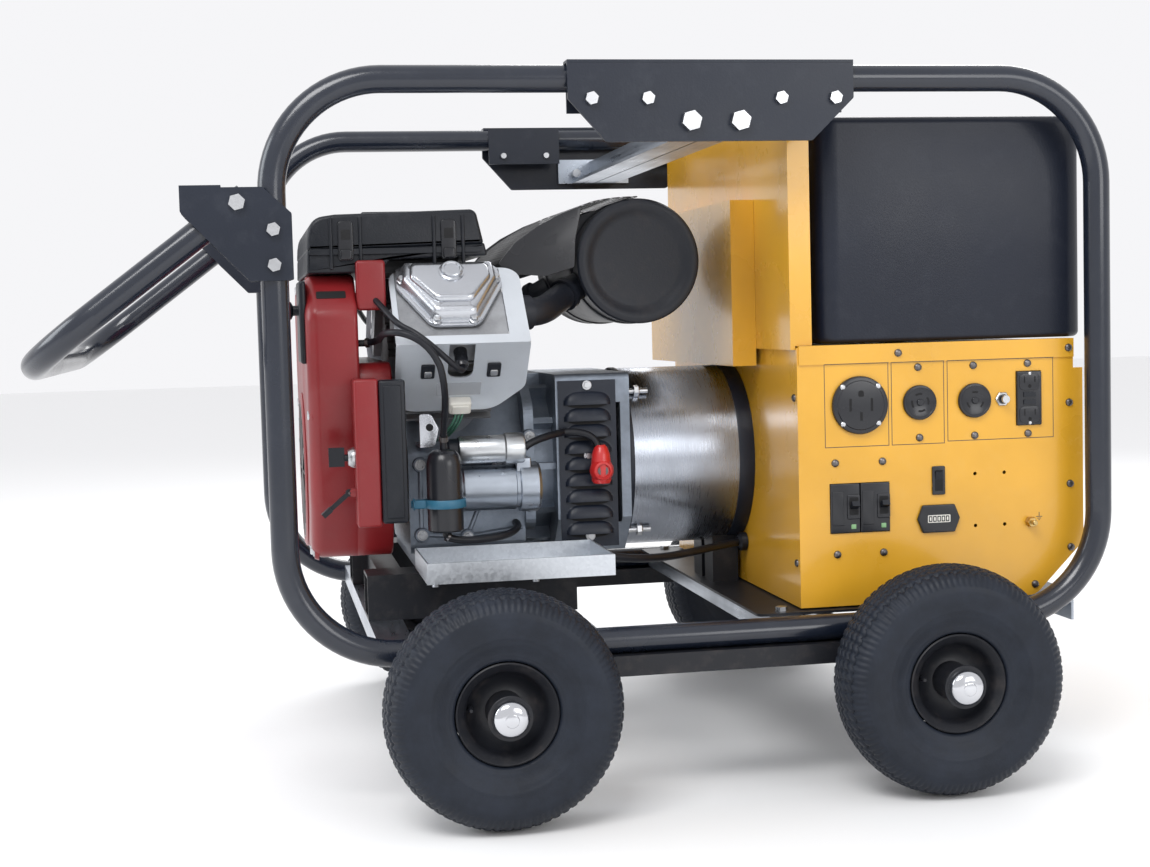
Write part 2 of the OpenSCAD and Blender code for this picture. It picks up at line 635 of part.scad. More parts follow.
module adapter_housing() {
  z0 = crank_z - 112;
  z1 = crank_z + 113;
  color([0.42, 0.45, 0.5]) difference() {
    plate_yz(rounded([[-adapter_y, z0 + 46, 0], [-adapter_y + 46, z0, 0], [adapter_y - 46, z0, 0],
      [adapter_y, z0 + 46, 0], [adapter_y, z1, 8], [-adapter_y, z1, 8]]), adapter_x0, alt_x0 - 0.2);
    on_crank() rod_x(adapter_x0 + 8, alt_x0 + 1, 98);
    on_crank() rod_x(adapter_x0 - 1, alt_x0 + 1, 60);
    // side vents
    box([adapter_x0 + 14, -150, 290], [alt_x0 - 12, 150, 440]);
  }
}
louvre_n = 9;
louvre_pitch = 20;
louvre_z0 = 285;
module louvre_cover() {
  x0 = -134;
  x1 = -62;
  y = adapter_y + 0.2;
  t = 2;
  color([0.14, 0.14, 0.15]) both_sides() difference() {
    union() {
      box([x0, -y - t, 262], [x1, -y, 468]);
      for (i = [0 : louvre_n - 1]) translate([(x0 + x1) / 2, -y - t, louvre_z0 + i * louvre_pitch])
        rotate([0, 90, 0]) translate([0, 0, -27]) intersection() {
          cylinder(h = 54, r = 7);
          translate([-8, -8, 0]) cube([8.5, 9, 54]);
        }
    }
    for (i = [0 : louvre_n - 1]) translate([(x0 + x1) / 2, -y - t, louvre_z0 + i * louvre_pitch])
      rotate([0, 90, 0]) translate([0, 0, -25]) union() {
        intersection() { cylinder(h = 50, r = 5); translate([-5, -6, 0]) cube([8, 12, 50]); }
      }
  }
}

// ---------------------------------------------------------------- engine
module crankcase() {
  color([0.42, 0.47, 0.54]) difference() {
    union() {
      plate_yz(rounded([[-118, 262, 12], [118, 262, 12], [118, 385, 10], [78, 452, 10], [-78, 452, 10],
        [-118, 385, 10]]), eng_x0, eng_x1);
      box([eng_x0 + 4, -132, base_h], [eng_x1 - 4, 132, 264]);
      // flange to the adapter with its ribs
      plate_yz(rounded([[-126, 285, 20], [126, 285, 20], [126, 440, 30], [60, 486, 20], [-60, 486, 20],
        [-126, 440, 30]]), eng_x1, eng_x1 + 12);
      on_crank() rod_x(eng_x1 + 10, adapter_x0, 96);
      for (a = [0 : 30 : 330]) on_crank() rotate([a, 0, 0])
        box([eng_x1 + 10, 90, -4], [adapter_x0, 112, 4]);
    }
    on_crank() rod_x(eng_x0 + 14, eng_x1 - 6, 76);
    on_crank() rod_x(eng_x0 - 1, adapter_x0 + 1, crank_journal_r + running_gap);
    on_crank() rod_x(eng_x1 + 6, adapter_x0 + 1, 80);
    for (s = [-1, 1]) in_cylinder(s) translate([0, 0, 60]) cylinder(h = 200, r = 43);
  }
}
module crankshaft() {
  color([0.6, 0.6, 0.62]) on_crank() union() {
    rod_x(fan_x0 + 24, eng_x0 + 14, crank_journal_r);
    rod_x(eng_x0 + 14, eng_x1 - 6, 24);
    rod_x(eng_x1 - 6, -178, crank_journal_r);
    for (x = [eng_x0 + 20, eng_x1 - 28]) rod_x(x, x + 16, 66);
  }
}
module flywheel() {
  color([0.55, 0.56, 0.58]) on_crank() difference() {
    union() {
      rod_x(fan_x0 + 46, fan_x0 + 72, 92);
      rod_x(fan_x0 + 72, eng_x0 - 4, 40);
      for (a = [0 : 24 : 336]) rotate([a, 0, 0]) box([fan_x0 + 22, 56, -2], [fan_x0 + 47, 90, 2]);
    }
    rod_x(fan_x0, eng_x0, crank_journal_r + 0.01);
  }
}
// outlines of the blower housing seen along the crankshaft: the fan scroll and the lower duct
scroll_pts = [[-128, 264, 30], [128, 264, 30], [168, 330, 40], [206, 470, 40], [206, 560, 30],
  [160, 603, 30], [-160, 603, 30], [-206, 560, 30], [-206, 470, 40], [-168, 330, 40]];
duct_pts = [[-128, 264, 30], [128, 264, 30], [168, 330, 40], [200, 450, 40], [190, 500, 24],
  [-190, 500, 24], [-200, 450, 40], [-168, 330, 40]];
// outline scaled about its own middle so that it stands t further in
function shrink(pts, t, mid, half_w, half_h) = [for (p = pts)
  [p[0] * (1 - t / half_w), mid + (p[1] - mid) * (1 - t / half_h), p[2]]];
scroll_x1 = -380;
duct_x1 = -342;
module fan_housing() {
  t = 3;
  color([0.72, 0.24, 0.22]) difference() {
    union() {
      plate_yz(rounded(scroll_pts), fan_x0, scroll_x1);
      plate_yz(rounded(duct_pts), scroll_x1 - 1, duct_x1);
    }
    plate_yz(rounded(shrink(scroll_pts, t, 433, 206, 170)), fan_x0 + t, scroll_x1 - t);
    plate_yz(rounded(shrink(duct_pts, t, 382, 200, 118)), scroll_x1 - t - 1, duct_x1 + 1);
    // air inlet in front of the fan
    on_crank() rod_x(fan_x0 - 1, fan_x0 + t + 1, 82);
  }
}
module in_cylinder(s) { translate([cyl_x, 0, crank_z]) rotate([45 * s, 0, 0]) children(); }
fin_n = 9;
module cylinders() {
  color([0.6, 0.62, 0.65]) for (s = [-1, 1]) in_cylinder(s) difference() {
    union() {
      translate([0, 0, 66]) cylinder(h = head_rho - 66, r = 42.9);
      for (i = [0 : fin_n - 1]) translate([-52, -52, 142 + i * 12]) cube([104, 104, 3]);
      translate([-62, -54, head_rho]) cube([124, 108, cover_rho - head_rho - 3]);
      // exhaust port flange towards the alternator
      translate([62, -20, 258]) cube([20, 40, 26]);
    }
    translate([0, 0, 60]) cylinder(h = head_rho - 66, r = 38.5);
  }
}
module cylinder_shrouds() {
  t = 2;
  color([0.78, 0.8, 0.83]) for (s = [-1, 1]) in_cylinder(s) mirror([0, s > 0 ? 0 : 1, 0]) {
    // sheet beside the barrel, its lower corners rounded
    translate([0, -68, 0]) difference() {
      plate_xz(rounded([[-67, 176, 26], [50, 176, 34], [86, 214, 20], [86, 288, 3], [-69, 288, 3]]), 0, t);
      plate_xz(rounded([[-8, 232, 12], [22, 232, 12], [22, 292, 0], [-8, 292, 0]]), -1, t + 1);
    }
    // ledge around the head, under the cover's gasket
    difference() {
      plate_xy(rounded([[-69, -68, 3], [86, -68, 3], [86, 56, 20], [-69, 56, 20]]), cover_rho - 2.9,
        cover_rho - 0.9);
      translate([-62.5, -54.5, 0]) cube([125, 109, 400]);
    }
  }
}
// tapered cover outline in the head's own plane, wide side up
cover_out = [[-60, 58, 12], [60, 58, 12], [63, 22, 16], [30, -42, 18], [-26, -42, 18], [-62, 22, 16]];
module head_covers() {
  color([0.8, 0.82, 0.84]) for (s = [-1, 1]) in_cylinder(s) mirror([0, s > 0 ? 0 : 1, 0]) union() {
    plate_xy(rounded(cover_out), cover_rho - 0.8, cover_rho + 10);
    plate_xy(rounded([for (p = cover_out) [p[0] * 0.88, 8 + (p[1] - 8) * 0.84, p[2] * 0.8]]),
      cover_rho + 10, cover_rho + 18);
    plate_xy(rounded([for (p = cover_out) [p[0] * 0.78, 14 + (p[1] - 14) * 0.56, p[2] * 0.7]]),
      cover_rho + 18, cover_rho + 25);
    translate([2, 24, cover_rho + 25]) cylinder(h = 6, r = 12);
  }
}
air_y = 186;
module air_cleaner_base() {
  color([0.12, 0.12, 0.13]) {
    difference() {
      box([-398, -140, 605], [-236, 140, 611.5]);
      translate([carb_x, 0, 600]) cylinder(h = 20, r = 18);
    }
    // pleated paper element
    difference() {
      box([-380, -120, 612], [-252, 120, 650]);
      box([-360, -100, 611], [-272, 100, 651]);
    }
  }
}
carb_x = -292;
module carburettor() {
  color([0.6, 0.6, 0.58]) difference() {
    union() {
      translate([carb_x, 0, 560]) cylinder(h = 44.8, r = 24);
      box([carb_x - 32, -34, 528], [carb_x + 32, 34, 562]);
      // inlet pipe to each head
      translate([carb_x, 0, 545]) rod_y(-97, 97, 14);
      translate([carb_x, 0, 500]) cylinder(h = 30, r = 22);
    }
    translate([carb_x, 0, 562]) cylinder(h = 50, r = 18);
  }
}
module air_cleaner_cover() {
  outer = [[-436, 604, 0], [-434, 640, 0], [-430, 668, 22], [-402, 672, 8], [-236, 676, 8],
    [-223, 621, 4], [-338, 619, 4], [-352, 604, 4]];
  inner = [[-433, 590, 0], [-431, 640, 0], [-427, 665, 20], [-402, 669, 6], [-238.6, 673, 6],
    [-226.6, 621, 2], [-226, 600, 0], [-300, 590, 0]];
  color([0.2, 0.22, 0.26]) difference() {
    plate_xz(rounded(outer), -air_y, air_y);
    plate_xz(rounded(inner), -air_y + 3, air_y - 3);
  }
}

// ---------------------------------------------------------------- exhaust
muffler_y0 = -150;
muffler_y1 = 150;
outlet_y1 = 176;
outlet_dz = -34;
pipe_r = 17;
// middle line of the near exhaust pipe, from the head's port to the muffler's side
port = [cyl_x + 82.4, -189.6, 552.6];
pipe_path = concat([port], curve(port + [3, 0, 0], [-146, -189.6, 552.6], [-150, -118, 560],
  [-100, -108, 588], 9));
module near_pipe(r) { cable(pipe_path, r, 12); }
// curved sheet that shields the pipes, from the heads up to the muffler's top
guard_path = [[-206, 613], [-186, 636], [-160, 654], [-128, 670], [-96, 683], [-66, 689.6], [muffler_x, 691]];
module exhaust_guard() {
  t = 1.5;
  k = len(guard_path);
  plate_xz(concat(guard_path, [for (i = [k - 1 : -1 : 0]) guard_path[i] - [0, t]]), -150, 150);
  // cheek on each side
  both_sides() plate_xz([[-206, 613], [-186, 636], [-160, 654], [-128, 670], [-104, 679], [-112, 640], [-114, 606],
    [-150, 596], [-196, 600]], -150, -150 + t);
  // leg down to the muffler's top
  box([muffler_x - 12, -60, muffler_z + muffler_r - 1], [muffler_x, 60, 690]);
}
module muffler() {
  r = muffler_r;
  color([0.14, 0.14, 0.16]) difference() {
    union() {
      translate([muffler_x, 0, muffler_z]) {
        rod_y(muffler_y0, muffler_y1, r);
        translate([0, 0, outlet_dz]) rod_y(muffler_y1 - 4, outlet_y1, 17);
      }
      exhaust_guard();
    }
    translate([muffler_x, 0, muffler_z]) {
      rod_y(muffler_y0 + 6, muffler_y1 - 6, r - 2);
      rod_y(muffler_y0 - 1, muffler_y0 + 3, r - 14);
      translate([0, 0, outlet_dz]) rod_y(muffler_y1 - 20, outlet_y1 + 1, 15);
    }
    both_sides() near_pipe(pipe_r + 0.3);
  }
}
module exhaust_pipes() { color([0.17, 0.17, 0.19]) both_sides() near_pipe(pipe_r); }

// ---------------------------------------------------------------- engine accessories
module starter() {
  color([0.2, 0.2, 0.22]) {
    translate([0, -158, 344]) { rod_x(-262, -196, 27); rod_x(-196, -166.2, 30); }
    translate([0, -168, 391]) { rod_x(-264, -208, 17); rod_x(-208, -186, 19); rod_x(-278, -264, 14); }
    box([-196, -176, 362], [-178, -150, 380]);
  }
}
module oil_filter() {
  color([0.07, 0.07, 0.08]) translate(filter_at) {
    translate([0, 0, 300]) cylinder(h = 30, r = 21);
    translate([0, 0, 336]) rotate_extrude()
      polygon([[0, 0], [21, 0], [21, 44], [19, 52], [14, 58], [0, 60]]);
    translate([0, 0, 330]) cylinder(h = 6, r = 24);
    translate([-6, 20, 328]) cube([12, 69, 6]);
  }
}
lever_y = -226;
lever_z = 352;
module engine_box() {
  color([0.72, 0.24, 0.22]) {
    box([-390, -242, 312], [-362, -206, 482]);
    box([-361.8, -246, 316], [-332, -214, 480]);
    translate([0, -224, 392]) rod_x(-398, -390, 11);
    box([-378, -206, 385], [-366, -187.5, 400]);
    // clevis of the throttle lever
    for (y = [lever_y - 6, lever_y + 3]) translate([-390, 0, lever_z]) difference() {
      union() { box([-8, y, -5], [0, y + 3, 5]); translate([-8, 0, 0]) rod_y(y, y + 3, 5); }
      translate([-8, 0, 0]) rod_y(y - 1, y + 4, 1.6);
    }
    translate([-398, 0, lever_z]) rod_y(lever_y - 6, lever_y + 6, 1.5);
  }
}
module ignition_key() {
  color([0.75, 0.75, 0.78]) translate([0, -224, 392]) union() {
    rod_x(-402, -398.1, 4);
    box([-420, -1.2, -10], [-402, 1.2, 12]);
  }
}
module throttle_lever() {
  color([0.1, 0.1, 0.12]) translate([-398, lever_y, lever_z]) difference() {
    union() {
      rod_y(-2.6, 2.6, 4.2);
      rotate([0, -40, 0]) box([-30, -2.6, -2.5], [0, 2.6, 2.5]);
      rotate([0, -40, 0]) box([-40, -6, -3], [-28, 6, 3]);
    }
    rod_y(-5, 5, 1.5 + running_gap);
  }
}
module battery_tray() {
  t = 2;
  color([0.8, 0.83, 0.86]) union() {
    difference() {
      box([tray_x0, tray_y0, tray_z], [tray_x1, tray_y1, tray_z + 24]);
      box([tray_x0 + t, tray_y0 + t, tray_z + t], [tray_x1 - t, tray_y1 - t, tray_z + 30]);
      for (x = [-290, -130]) translate([x, -170, tray_z - 1]) cylinder(h = 10, r = 4.2);
    }
    // studs that hold the tray's outer edge on the support arms
    for (x = [-300, -180]) translate([x, -200, base_h]) cylinder(h = tray_z - base_h, r = 6);
    for (x = [-300, -180]) translate([x, -200, tray_z - 16]) cylinder(h = 16, r = 4);
  }
}
// routes of the held cables, ends included
control_run = curve([-92, -220, 262], [-20, -196, 246], [40, -120, 252], [box_x0 - 8, -68, 251], 12);
starter_run = concat(curve([-184, -168, 391], [-176, -168, 400], [-150, -158, 404], [-132, -136, 406], 6),
  curve([-128, -135, 406], [-100, -136, 406], [-90, -140, 398], [-89, -142, 384], 5));
// plug caps stand in the shrouds' slots
plug_x = 7;
plug_rho = 262;
plug_end = [cyl_x + plug_x, -(80 + plug_rho) * sqrt(0.5), crank_z + (plug_rho - 80) * sqrt(0.5)];
plug_run = concat(curve(plug_end, plug_end + [0, -14, -14], [-300, -270, 522], [-326, -245, 537], 8),
  curve([-330, -242, 539], [-349, -237, 549], [-356, -178, 580], [-373, -178, 580], 6),
  [[scroll_x1 + 0.2, -178, 580]]);
filter_at = [-286, -207];
hose_run = concat([[filter_at[0], filter_at[1], 396.2]],
  curve([filter_at[0], filter_at[1], 400], [-286, -207, 430], [-284, -268, 455], [-294, -270, 495], 7),
  curve([-296, -270, 499], [-312, -270, 536], [-356, -276, 540], [-356, -214, 528], 7),
  curve([-356, -210, 527.6], [-356, -190, 525], [-362, -178, 522], [-374, -178, 522], 4),
  [[scroll_x1 + 0.2, -178, 522]]);
feed_run = concat([[filter_at[0], filter_at[1], 299.8]],
  curve([filter_at[0], filter_at[1], 296], [-286, -207, 283], [-190, -196, 284], [-190, -128, 296], 9),
  [[-190, -118.2, 296]]);
module plug_cap() {
  in_cylinder(1) translate([plug_x, 0, plug_rho]) rod_y(-80, -54.1, 8);
}
module wiring() {
  color([0.1, 0.1, 0.11]) {
    cable(control_run, 5);
    cable(starter_run, 4.5);
    both_sides() {
      plug_cap();
      cable(plug_run, 3.6);
    }
    cable(hose_run, 4);
    cable(feed_run, 4.5);
    // grommet in the box's side
    translate([0, -68, 251]) rod_x(box_x0 - 9, box_x0 - 0.6, 12);
  }
  // insulating boot of the starter cable's terminal
  color([0.8, 0.15, 0.12]) translate([-86, -143, 350]) {
    cylinder(h = 30, r = 11);
    translate([0, 0, 14]) rod_y(-13, 0, 13);
  }
}

module unit_at() { translate([x_shift, 0, 0]) children(); }
unit_at() front_loop();
unit_at() rear_loop();
unit_at() cross_members();
unit_at() engine_base();
unit_at() base_plate();
unit_at() wheel_rails();
unit_at() carburettor();
unit_at() axles();
unit_at() axle_caps();
unit_at() tyre_1();
unit_at() tyre_2();
unit_at() tyre_3();
unit_at() tyre_4();
unit_at() rim_1();
unit_at() rim_2();
unit_at() rim_3();
unit_at() rim_4();
unit_at() handle();
unit_at() handle_brackets();
unit_at() frame_bolts();
unit_at() lift_plates();
unit_at() lift_clamps();
unit_at() lift_bar();
unit_at() control_box();
unit_at() control_panel();
unit_at() panel_screws();
unit_at() panel_devices();
unit_at() test_button();
unit_at() reset_button();
unit_at() breaker_lever_1();
unit_at() breaker_lever_2();
unit_at() rocker();
unit_at() push_reset();
unit_at() heat_shield();
unit_at() shield_pan();
unit_at() fuel_tank();
unit_at() fuel_cap();
unit_at() alternator_shell();
unit_at() alternator_stator();
unit_at() alternator_rotor();
unit_at() adapter_housing();
unit_at() louvre_cover();
unit_at() crankcase();
unit_at() crankshaft();
unit_at() flywheel();
unit_at() fan_housing();
unit_at() cylinders();
unit_at() cylinder_shrouds();
unit_at() head_covers();
unit_at() air_cleaner_base();
unit_at() air_cleaner_cover();
unit_at() muffler();
unit_at() exhaust_pipes();
unit_at() starter();
unit_at() oil_filter();
unit_at() engine_box();
unit_at() ignition_key();
unit_at() throttle_lever();
unit_at() battery_tray();
unit_at() wiring();
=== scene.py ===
"""Finished look of an engine driven power unit on a four wheeled tube cart.

Vertices are in metres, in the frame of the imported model. Shapes are given in mm: x from the middle of the cage,
y from the unit's middle plane and z from the floor, the same numbers as in the part's source.
"""

import math

import bpy
import numpy as np
from mathutils import Matrix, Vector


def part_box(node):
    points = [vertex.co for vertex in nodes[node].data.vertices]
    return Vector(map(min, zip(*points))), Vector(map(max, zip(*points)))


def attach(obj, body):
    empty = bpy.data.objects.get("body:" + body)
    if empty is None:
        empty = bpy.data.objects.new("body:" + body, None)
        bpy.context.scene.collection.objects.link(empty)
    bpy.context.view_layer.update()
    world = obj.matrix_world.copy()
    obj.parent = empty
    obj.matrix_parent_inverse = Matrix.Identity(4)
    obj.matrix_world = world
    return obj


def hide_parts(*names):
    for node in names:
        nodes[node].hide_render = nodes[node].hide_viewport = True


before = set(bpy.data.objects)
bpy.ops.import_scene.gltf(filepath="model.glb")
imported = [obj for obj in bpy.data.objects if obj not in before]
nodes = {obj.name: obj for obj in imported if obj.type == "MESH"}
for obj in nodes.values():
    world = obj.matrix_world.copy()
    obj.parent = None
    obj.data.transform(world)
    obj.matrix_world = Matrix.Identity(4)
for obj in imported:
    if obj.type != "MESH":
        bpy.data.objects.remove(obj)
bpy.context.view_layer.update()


def corners(node):
    """Lowest and highest corner of a CAD node as arrays, in metres."""
    lo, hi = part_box(node)
    return np.array(lo), np.array(hi)


loop_lo, loop_hi = corners("front_loop")
cage_x = (loop_lo[0] + loop_hi[0]) / 2


def at(x, y, z):
    """A point given in mm from the cage's middle and the floor, as metres in the model's frame."""
    return np.array([cage_x + x / 1000, y / 1000, z / 1000])


def box_mm(node):
    """Lowest and highest corner of a CAD node, in mm from the cage's middle and the floor."""
    return [1000 * (v - [cage_x, 0, 0]) for v in corners(node)]


def new_object(name, data):
    """Object of a mesh, light or camera, linked into the scene."""
    ob = bpy.data.objects.new(name, data)
    bpy.context.scene.collection.objects.link(ob)
    return ob


# ---------------------------------------------------------------- surfaces
def mesh_piece(name, verts, faces, shade, body, sharp):
    """Smooth object of vertices (n, 3) and faces (lists of indices), riding a CAD body. Edges that turn by more
    than sharp degrees stay sharp."""
    me = bpy.data.meshes.new(name)
    me.from_pydata(verts.tolist(), [], faces)
    me.validate()
    me.materials.append(shade.mat)
    me.polygons.foreach_set("use_smooth", np.full(len(me.polygons), True))
    me.set_sharp_from_angle(angle=math.radians(sharp))
    ob = new_object(name, me)
    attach(ob, body)
    return ob


def grid_faces(m, n, wrap, start=0):
    """Quads of an m by n grid of points; wrap joins the last column to the first."""
    cols = n if wrap else n - 1
    i, j = np.meshgrid(np.arange(m - 1), np.arange(cols), indexing="ij")
    k = (j + 1) % n
    quads = np.stack([i * n + j, i * n + k, (i + 1) * n + k, (i + 1) * n + j], -1)
    return (quads.reshape(-1, 4) + start).tolist()


def rings_solid(rings):
    """Vertices and faces of a closed solid from rings (m, n, 3): side quads and flat end caps."""
    m, n, _ = rings.shape
    faces = grid_faces(m, n, True)
    faces.append(list(range(n - 1, -1, -1)))
    faces.append(list(range((m - 1) * n, m * n)))
    return rings.reshape(-1, 3), faces


def about_axle(mid, r, w):
    """Closed surface of m sections with n points each, at radius r and width w (m, n) in mm from a wheel's
    middle; the last section joins the first."""
    m, n = r.shape
    a = np.linspace(0, 2 * np.pi, n, endpoint=False)
    pts = np.stack([r / 1000 * np.cos(a), w / 1000, r / 1000 * np.sin(a)], -1) + mid
    last, j = (m - 1) * n, np.arange(n)
    k = (j + 1) % n
    return pts.reshape(-1, 3), grid_faces(m, n, True) + np.stack([last + j, last + k, k, j], -1).tolist()


def outward(verts, faces):
    """Faces turned so that they look outward: the signed volume of the fan triangles is positive."""
    total = 0.0
    quads = [f for f in faces if len(f) == 4]
    if quads:
        q = verts[np.array(quads)]
        total += np.einsum("ij,ij->", np.cross(q[:, 1] - q[:, 0], q[:, 2] - q[:, 0]), q[:, 0])
        total += np.einsum("ij,ij->", np.cross(q[:, 2] - q[:, 0], q[:, 3] - q[:, 0]), q[:, 0])
    for f in faces:
        if len(f) != 4:
            p = verts[np.array(f)]
            c = np.cross(p[1:-1] - p[0], p[2:] - p[0])
            total += np.einsum("ij,ij->", c, np.broadcast_to(p[0], c.shape))
    return [f[::-1] for f in faces] if total < 0 else faces


def join(parts):
    """One vertex array and face list from several (vertices, faces)."""
    verts, faces, start = [], [], 0
    for v, f in parts:
        f = outward(v, f)
        verts.append(v)
        faces += [[i + start for i in face] for face in f]
        start += len(v)
    return np.concatenate(verts), faces


def solids(name, parts, shade, body="chassis", sharp=35):
    """One piece made of several closed solids."""
    return mesh_piece(name, *join(parts), shade, body, sharp)


def turn(axis):
    """3 by 3 matrix that takes +Z to the named axis; a matrix is passed through."""
    if isinstance(axis, np.ndarray):
        return axis
    return {
        "z": np.eye(3),
        "x": np.array([[0, 0, 1], [1, 0, 0], [0, 1, 0]], float),
        "-x": np.array([[0, 0, -1], [-1, 0, 0], [0, 1, 0]], float),
        "y": np.array([[1, 0, 0], [0, 0, 1], [0, -1, 0]], float),
        "-y": np.array([[1, 0, 0], [0, 0, -1], [0, 1, 0]], float),
    }[axis]


def revolve(profile, origin, axis="z", n=64):
    """Profile points (radius, height) in mm turned round an axis through origin: x = r cos a, y = r sin a."""
    p = np.array(profile, float) / 1000
    a = np.linspace(0, 2 * np.pi, n, endpoint=False)
    r = np.maximum(p[:, 0], 1e-6)[:, None]
    rings = np.stack([r * np.cos(a), r * np.sin(a), np.broadcast_to(p[:, 1:2], (len(p), n))], -1)
    return rings_solid(rings @ turn(axis).T + origin)


def arc_points(cx, cy, r, a0, a1, n):
    """Points of a circle arc, angles in degrees."""
    a = np.radians(np.linspace(a0, a1, n))
    return np.stack([cx + r * np.cos(a), cy + r * np.sin(a)], -1)


def rounded_outline(pts, n=8):
    """Closed outline from corners (x, y, radius) in mm: each corner is the arc that touches both its edges."""
    p = np.array(pts, float)
    out = []
    for k in range(len(p)):
        a, c, b = p[k - 1, :2], p[k, :2], p[(k + 1) % len(p), :2]
        u, w = (a - c) / np.linalg.norm(a - c), (b - c) / np.linalg.norm(b - c)
        half = math.acos(np.clip(u @ w, -1, 1)) / 2
        r = max(p[k, 2], 0.05)
        mid = c + (u + w) / np.linalg.norm(u + w) * r / math.sin(half)
        s, e = c + u * r / math.tan(half) - mid, c + w * r / math.tan(half) - mid
        a0, a1 = math.atan2(s[1], s[0]), math.atan2(e[1], e[0])
        d = (a1 - a0 + 3 * np.pi) % (2 * np.pi) - np.pi
        t = a0 + d * np.linspace(0, 1, n)
        out.append(mid + r * np.stack([np.cos(t), np.sin(t)], -1))
    return np.concatenate(out)


def round_rect(x0, y0, x1, y1, r, n=8):
    """Outline of a rectangle with corners of radius r, in mm."""
    return rounded_outline([(x0, y0, r), (x1, y0, r), (x1, y1, r), (x0, y1, r)], n)


def inset(outline, d):
    """Outline moved inward by d along the mean normal of its two edges at each point."""
    e0 = outline - np.roll(outline, 1, 0)
    e1 = np.roll(outline, -1, 0) - outline
    n0 = np.stack([-e0[:, 1], e0[:, 0]], -1) / np.maximum(np.linalg.norm(e0, axis=1), 1e-9)[:, None]
    n1 = np.stack([-e1[:, 1], e1[:, 0]], -1) / np.maximum(np.linalg.norm(e1, axis=1), 1e-9)[:, None]
    x, y = outline[:, 0], outline[:, 1]
    ccw = np.sign(np.sum(x * np.roll(y, -1) - y * np.roll(x, -1)))
    n = n0 + n1
    n /= np.maximum(np.linalg.norm(n, axis=1), 1e-9)[:, None]
    cosine = np.maximum(np.sum(n * n1, 1), 0.5)
    return outline + ccw * n * d / cosine[:, None]


PLANES = {
    "xy": np.array([[1, 0, 0], [0, 1, 0], [0, 0, 1]], float),
    "xz": np.array([[1, 0, 0], [0, 0, 1], [0, 1, 0]], float),
    "yz": np.array([[0, 1, 0], [0, 0, 1], [1, 0, 0]], float),
}


def loft(outline, levels, plane="xy", frame_at=None):
    """Rings of one outline at several (inset, height) levels, in mm: each ring is the outline moved in and
    raised. frame_at is the turn and the origin of a local frame."""
    rings = np.stack([np.concatenate([inset(outline, d), np.full((len(outline), 1), h)], 1) for d, h in levels])
    pts = rings @ PLANES[plane]
    if frame_at is not None:
        pts = pts @ frame_at[0].T + frame_at[1]
    pts = pts / 1000
    pts[..., 0] += cage_x
    return rings_solid(pts)


def slab(outline, h0, h1, r0=1.0, r1=None, plane="xy", frame_at=None, n=5):
    """Outline extruded from height h0 to h1 with quarter round edges of radius r0 below and r1 above."""
    r1 = r0 if r1 is None else r1
    t = np.linspace(0, np.pi / 2, n)
    low = [(r0 * (1 - math.sin(a)), h0 + r0 * (1 - math.cos(a))) for a in t]
    high = [(r1 * (1 - math.cos(a)), h1 - r1 * (1 - math.sin(a))) for a in t]
    return loft(outline, low + high, plane, frame_at)


def side_slab(outline, y0, y1, r=1.0, **more):
    """Slab of an outline in x and z that runs from y0 to y1, given in either order."""
    return slab(outline, *sorted((y0, y1)), r, plane="xz", **more)


def block(lo, hi, r=1.0):
    """Box between two corners in mm with rounded edges."""
    r = min(r, *(0.49 * (b - a) for a, b in zip(lo, hi)))
    return slab(round_rect(lo[0], lo[1], hi[0], hi[1], r, 5), lo[2], hi[2], r)


def bezier(a, b, c, d, n=24):
    """Cubic curve a(1-t)^3 + 3b t(1-t)^2 + 3c t^2(1-t) + d t^3."""
    t = np.linspace(0, 1, n)[:, None]
    a, b, c, d = (np.array(v, float) for v in (a, b, c, d))
    return a * (1 - t) ** 3 + 3 * b * t * (1 - t) ** 2 + 3 * c * t**2 * (1 - t) + d * t**3


def tube(path, radius, n=16, ref=(0.13, 0.31, 0.94)):
    """Round section swept along a path in mm; radius is one number or one per path point."""
    p = np.array(path, float)
    t = np.gradient(p, axis=0)
    t /= np.linalg.norm(t, axis=1)[:, None]
    side = np.cross(t, np.array(ref, float))
    side /= np.linalg.norm(side, axis=1)[:, None]
    up = np.cross(side, t)
    a = np.linspace(0, 2 * np.pi, n, endpoint=False)
    r = np.broadcast_to(np.asarray(radius, float), (len(p),))[:, None, None]
    rings = p[:, None] + r * (side[:, None] * np.cos(a)[:, None] + up[:, None] * np.sin(a)[:, None])
    rings = rings / 1000
    rings[..., 0] += cage_x
    return rings_solid(rings)


def hex_bolt(x, y, z, r, h, axis="-y", washer=0.0):
    """Hexagon head with a chamfered top, and a washer if it has one."""
    o = at(x, y, z)
    out = []
    if washer:
        out.append(revolve([(0, 0), (washer, 0), (washer, 1.4), (washer - 0.4, 1.8), (0, 1.8)], o, axis, 32))
    a = np.radians(np.arange(6) * 60 + 15)
    prof = [(r, 0.2 if not washer else 1.8), (r, h - 1.2), (r * 0.87, h), (0.001, h)]
    rings = np.stack([np.stack([q * np.cos(a), q * np.sin(a), np.full(6, g)], -1) for q, g in prof]) / 1000
    out.append(rings_solid(rings @ turn(axis).T + o))
    return out


# ---------------------------------------------------------------- shading
def operator(op, swap=False):
    """Method that puts a Math node after a socket; with swap the socket is the second operand."""
    return lambda self, *others: self.math(op, *others, swap=swap)


